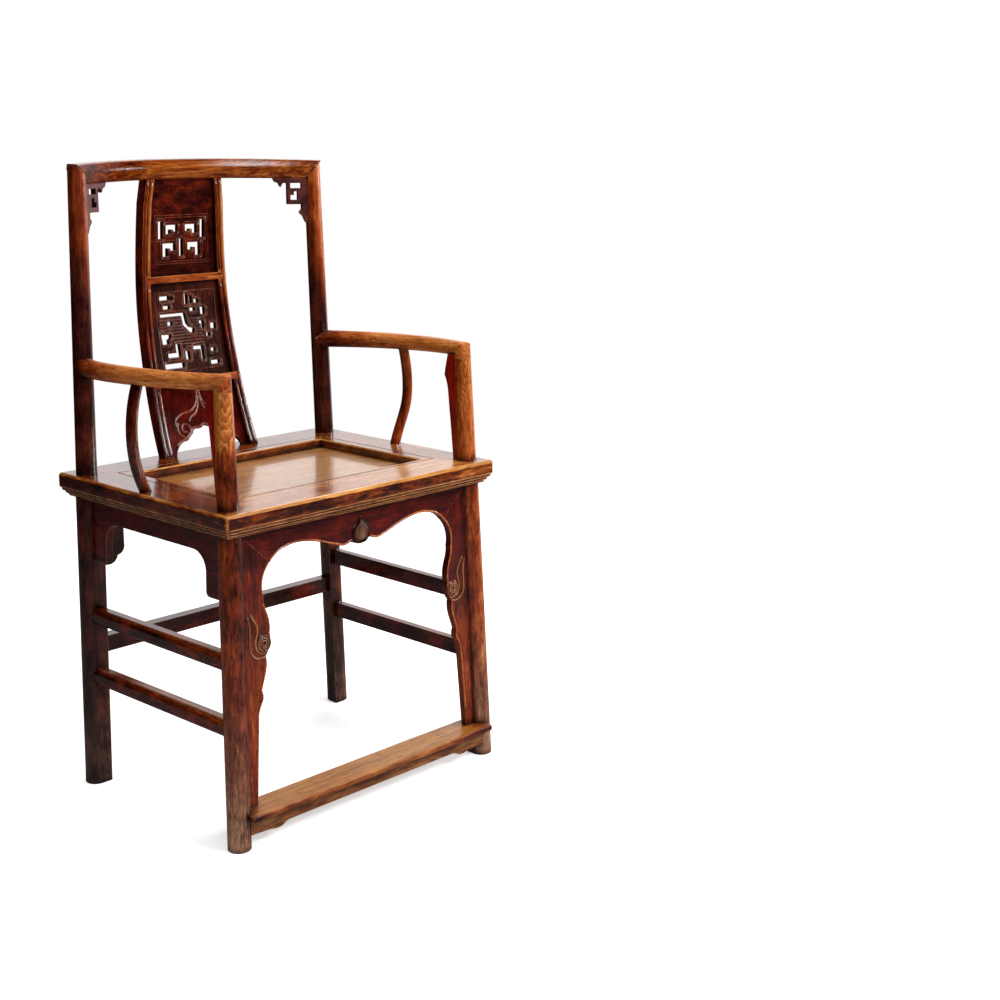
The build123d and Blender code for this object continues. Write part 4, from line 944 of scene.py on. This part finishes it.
def soft_box(name, place, aim, width, height, power):
    """A rectangular soft light turned to its aim."""
    lamp = bpy.data.lights.new(name, "AREA")
    lamp.shape = "RECTANGLE"
    lamp.size = width
    lamp.size_y = height
    lamp.energy = power
    box = bpy.data.objects.new(name, lamp)
    box.location = place
    box.rotation_euler = (Vector(aim) - Vector(place)).to_track_quat("-Z", "Y").to_euler()
    box.visible_camera = False
    bpy.context.scene.collection.objects.link(box)


# each box's place and what it is aimed at, its width and height, all in metres, and its watts
soft_box("front soft box", (0.9, -2.6, 2.8), (0, 0, 0.5), 1.2, 1.2, 80)
soft_box("top soft box", (-0.2, 0.2, 3.0), (0, 0, 0.5), 1.2, 1.2, 35)
soft_box("right soft box", (1.9, 1.6, 2.4), (0, 0, 0.6), 1.0, 1.0, 15)
soft_box("side strip box", (2.3, -1.0, 1.2), (0, 0, 0.7), 0.4, 0.4, 18)
soft_box("crest strip box", (0.9, -2.45, 1.83), (0.1, 0.2, 1.0), 0.8, 0.2, 18)

VIEW_PLACE = Vector((-1.69193, SEAT_Y - 2.07127, 1.11121))
VIEW_YAW, VIEW_PITCH, VIEW_ROLL = 0.826065, -0.231924, 0.0050072  # to the right, up and over, in radians
FOCAL_SHARE = 1.581507  # the lens's focal length, as a share of the sensor's width
SENSOR_MM = 36
forward = Vector((math.sin(VIEW_YAW) * math.cos(VIEW_PITCH), math.cos(VIEW_YAW) * math.cos(VIEW_PITCH),
                  math.sin(VIEW_PITCH)))
level = Vector((math.cos(VIEW_YAW), -math.sin(VIEW_YAW), 0))
upright = level.cross(forward)
right = level * math.cos(VIEW_ROLL) + upright * math.sin(VIEW_ROLL)
up = upright * math.cos(VIEW_ROLL) - level * math.sin(VIEW_ROLL)
lens = bpy.data.cameras.new("camera")
lens.sensor_width = SENSOR_MM
lens.lens = FOCAL_SHARE * SENSOR_MM
camera = bpy.data.objects.new("camera", lens)
camera.matrix_world = Matrix((
    (right.x, up.x, -forward.x, VIEW_PLACE.x),
    (right.y, up.y, -forward.y, VIEW_PLACE.y),
    (right.z, up.z, -forward.z, VIEW_PLACE.z),
    (0, 0, 0, 1),
))
bpy.context.scene.collection.objects.link(camera)
bpy.context.scene.camera = camera
bpy.context.scene.view_settings.view_transform = "Standard"
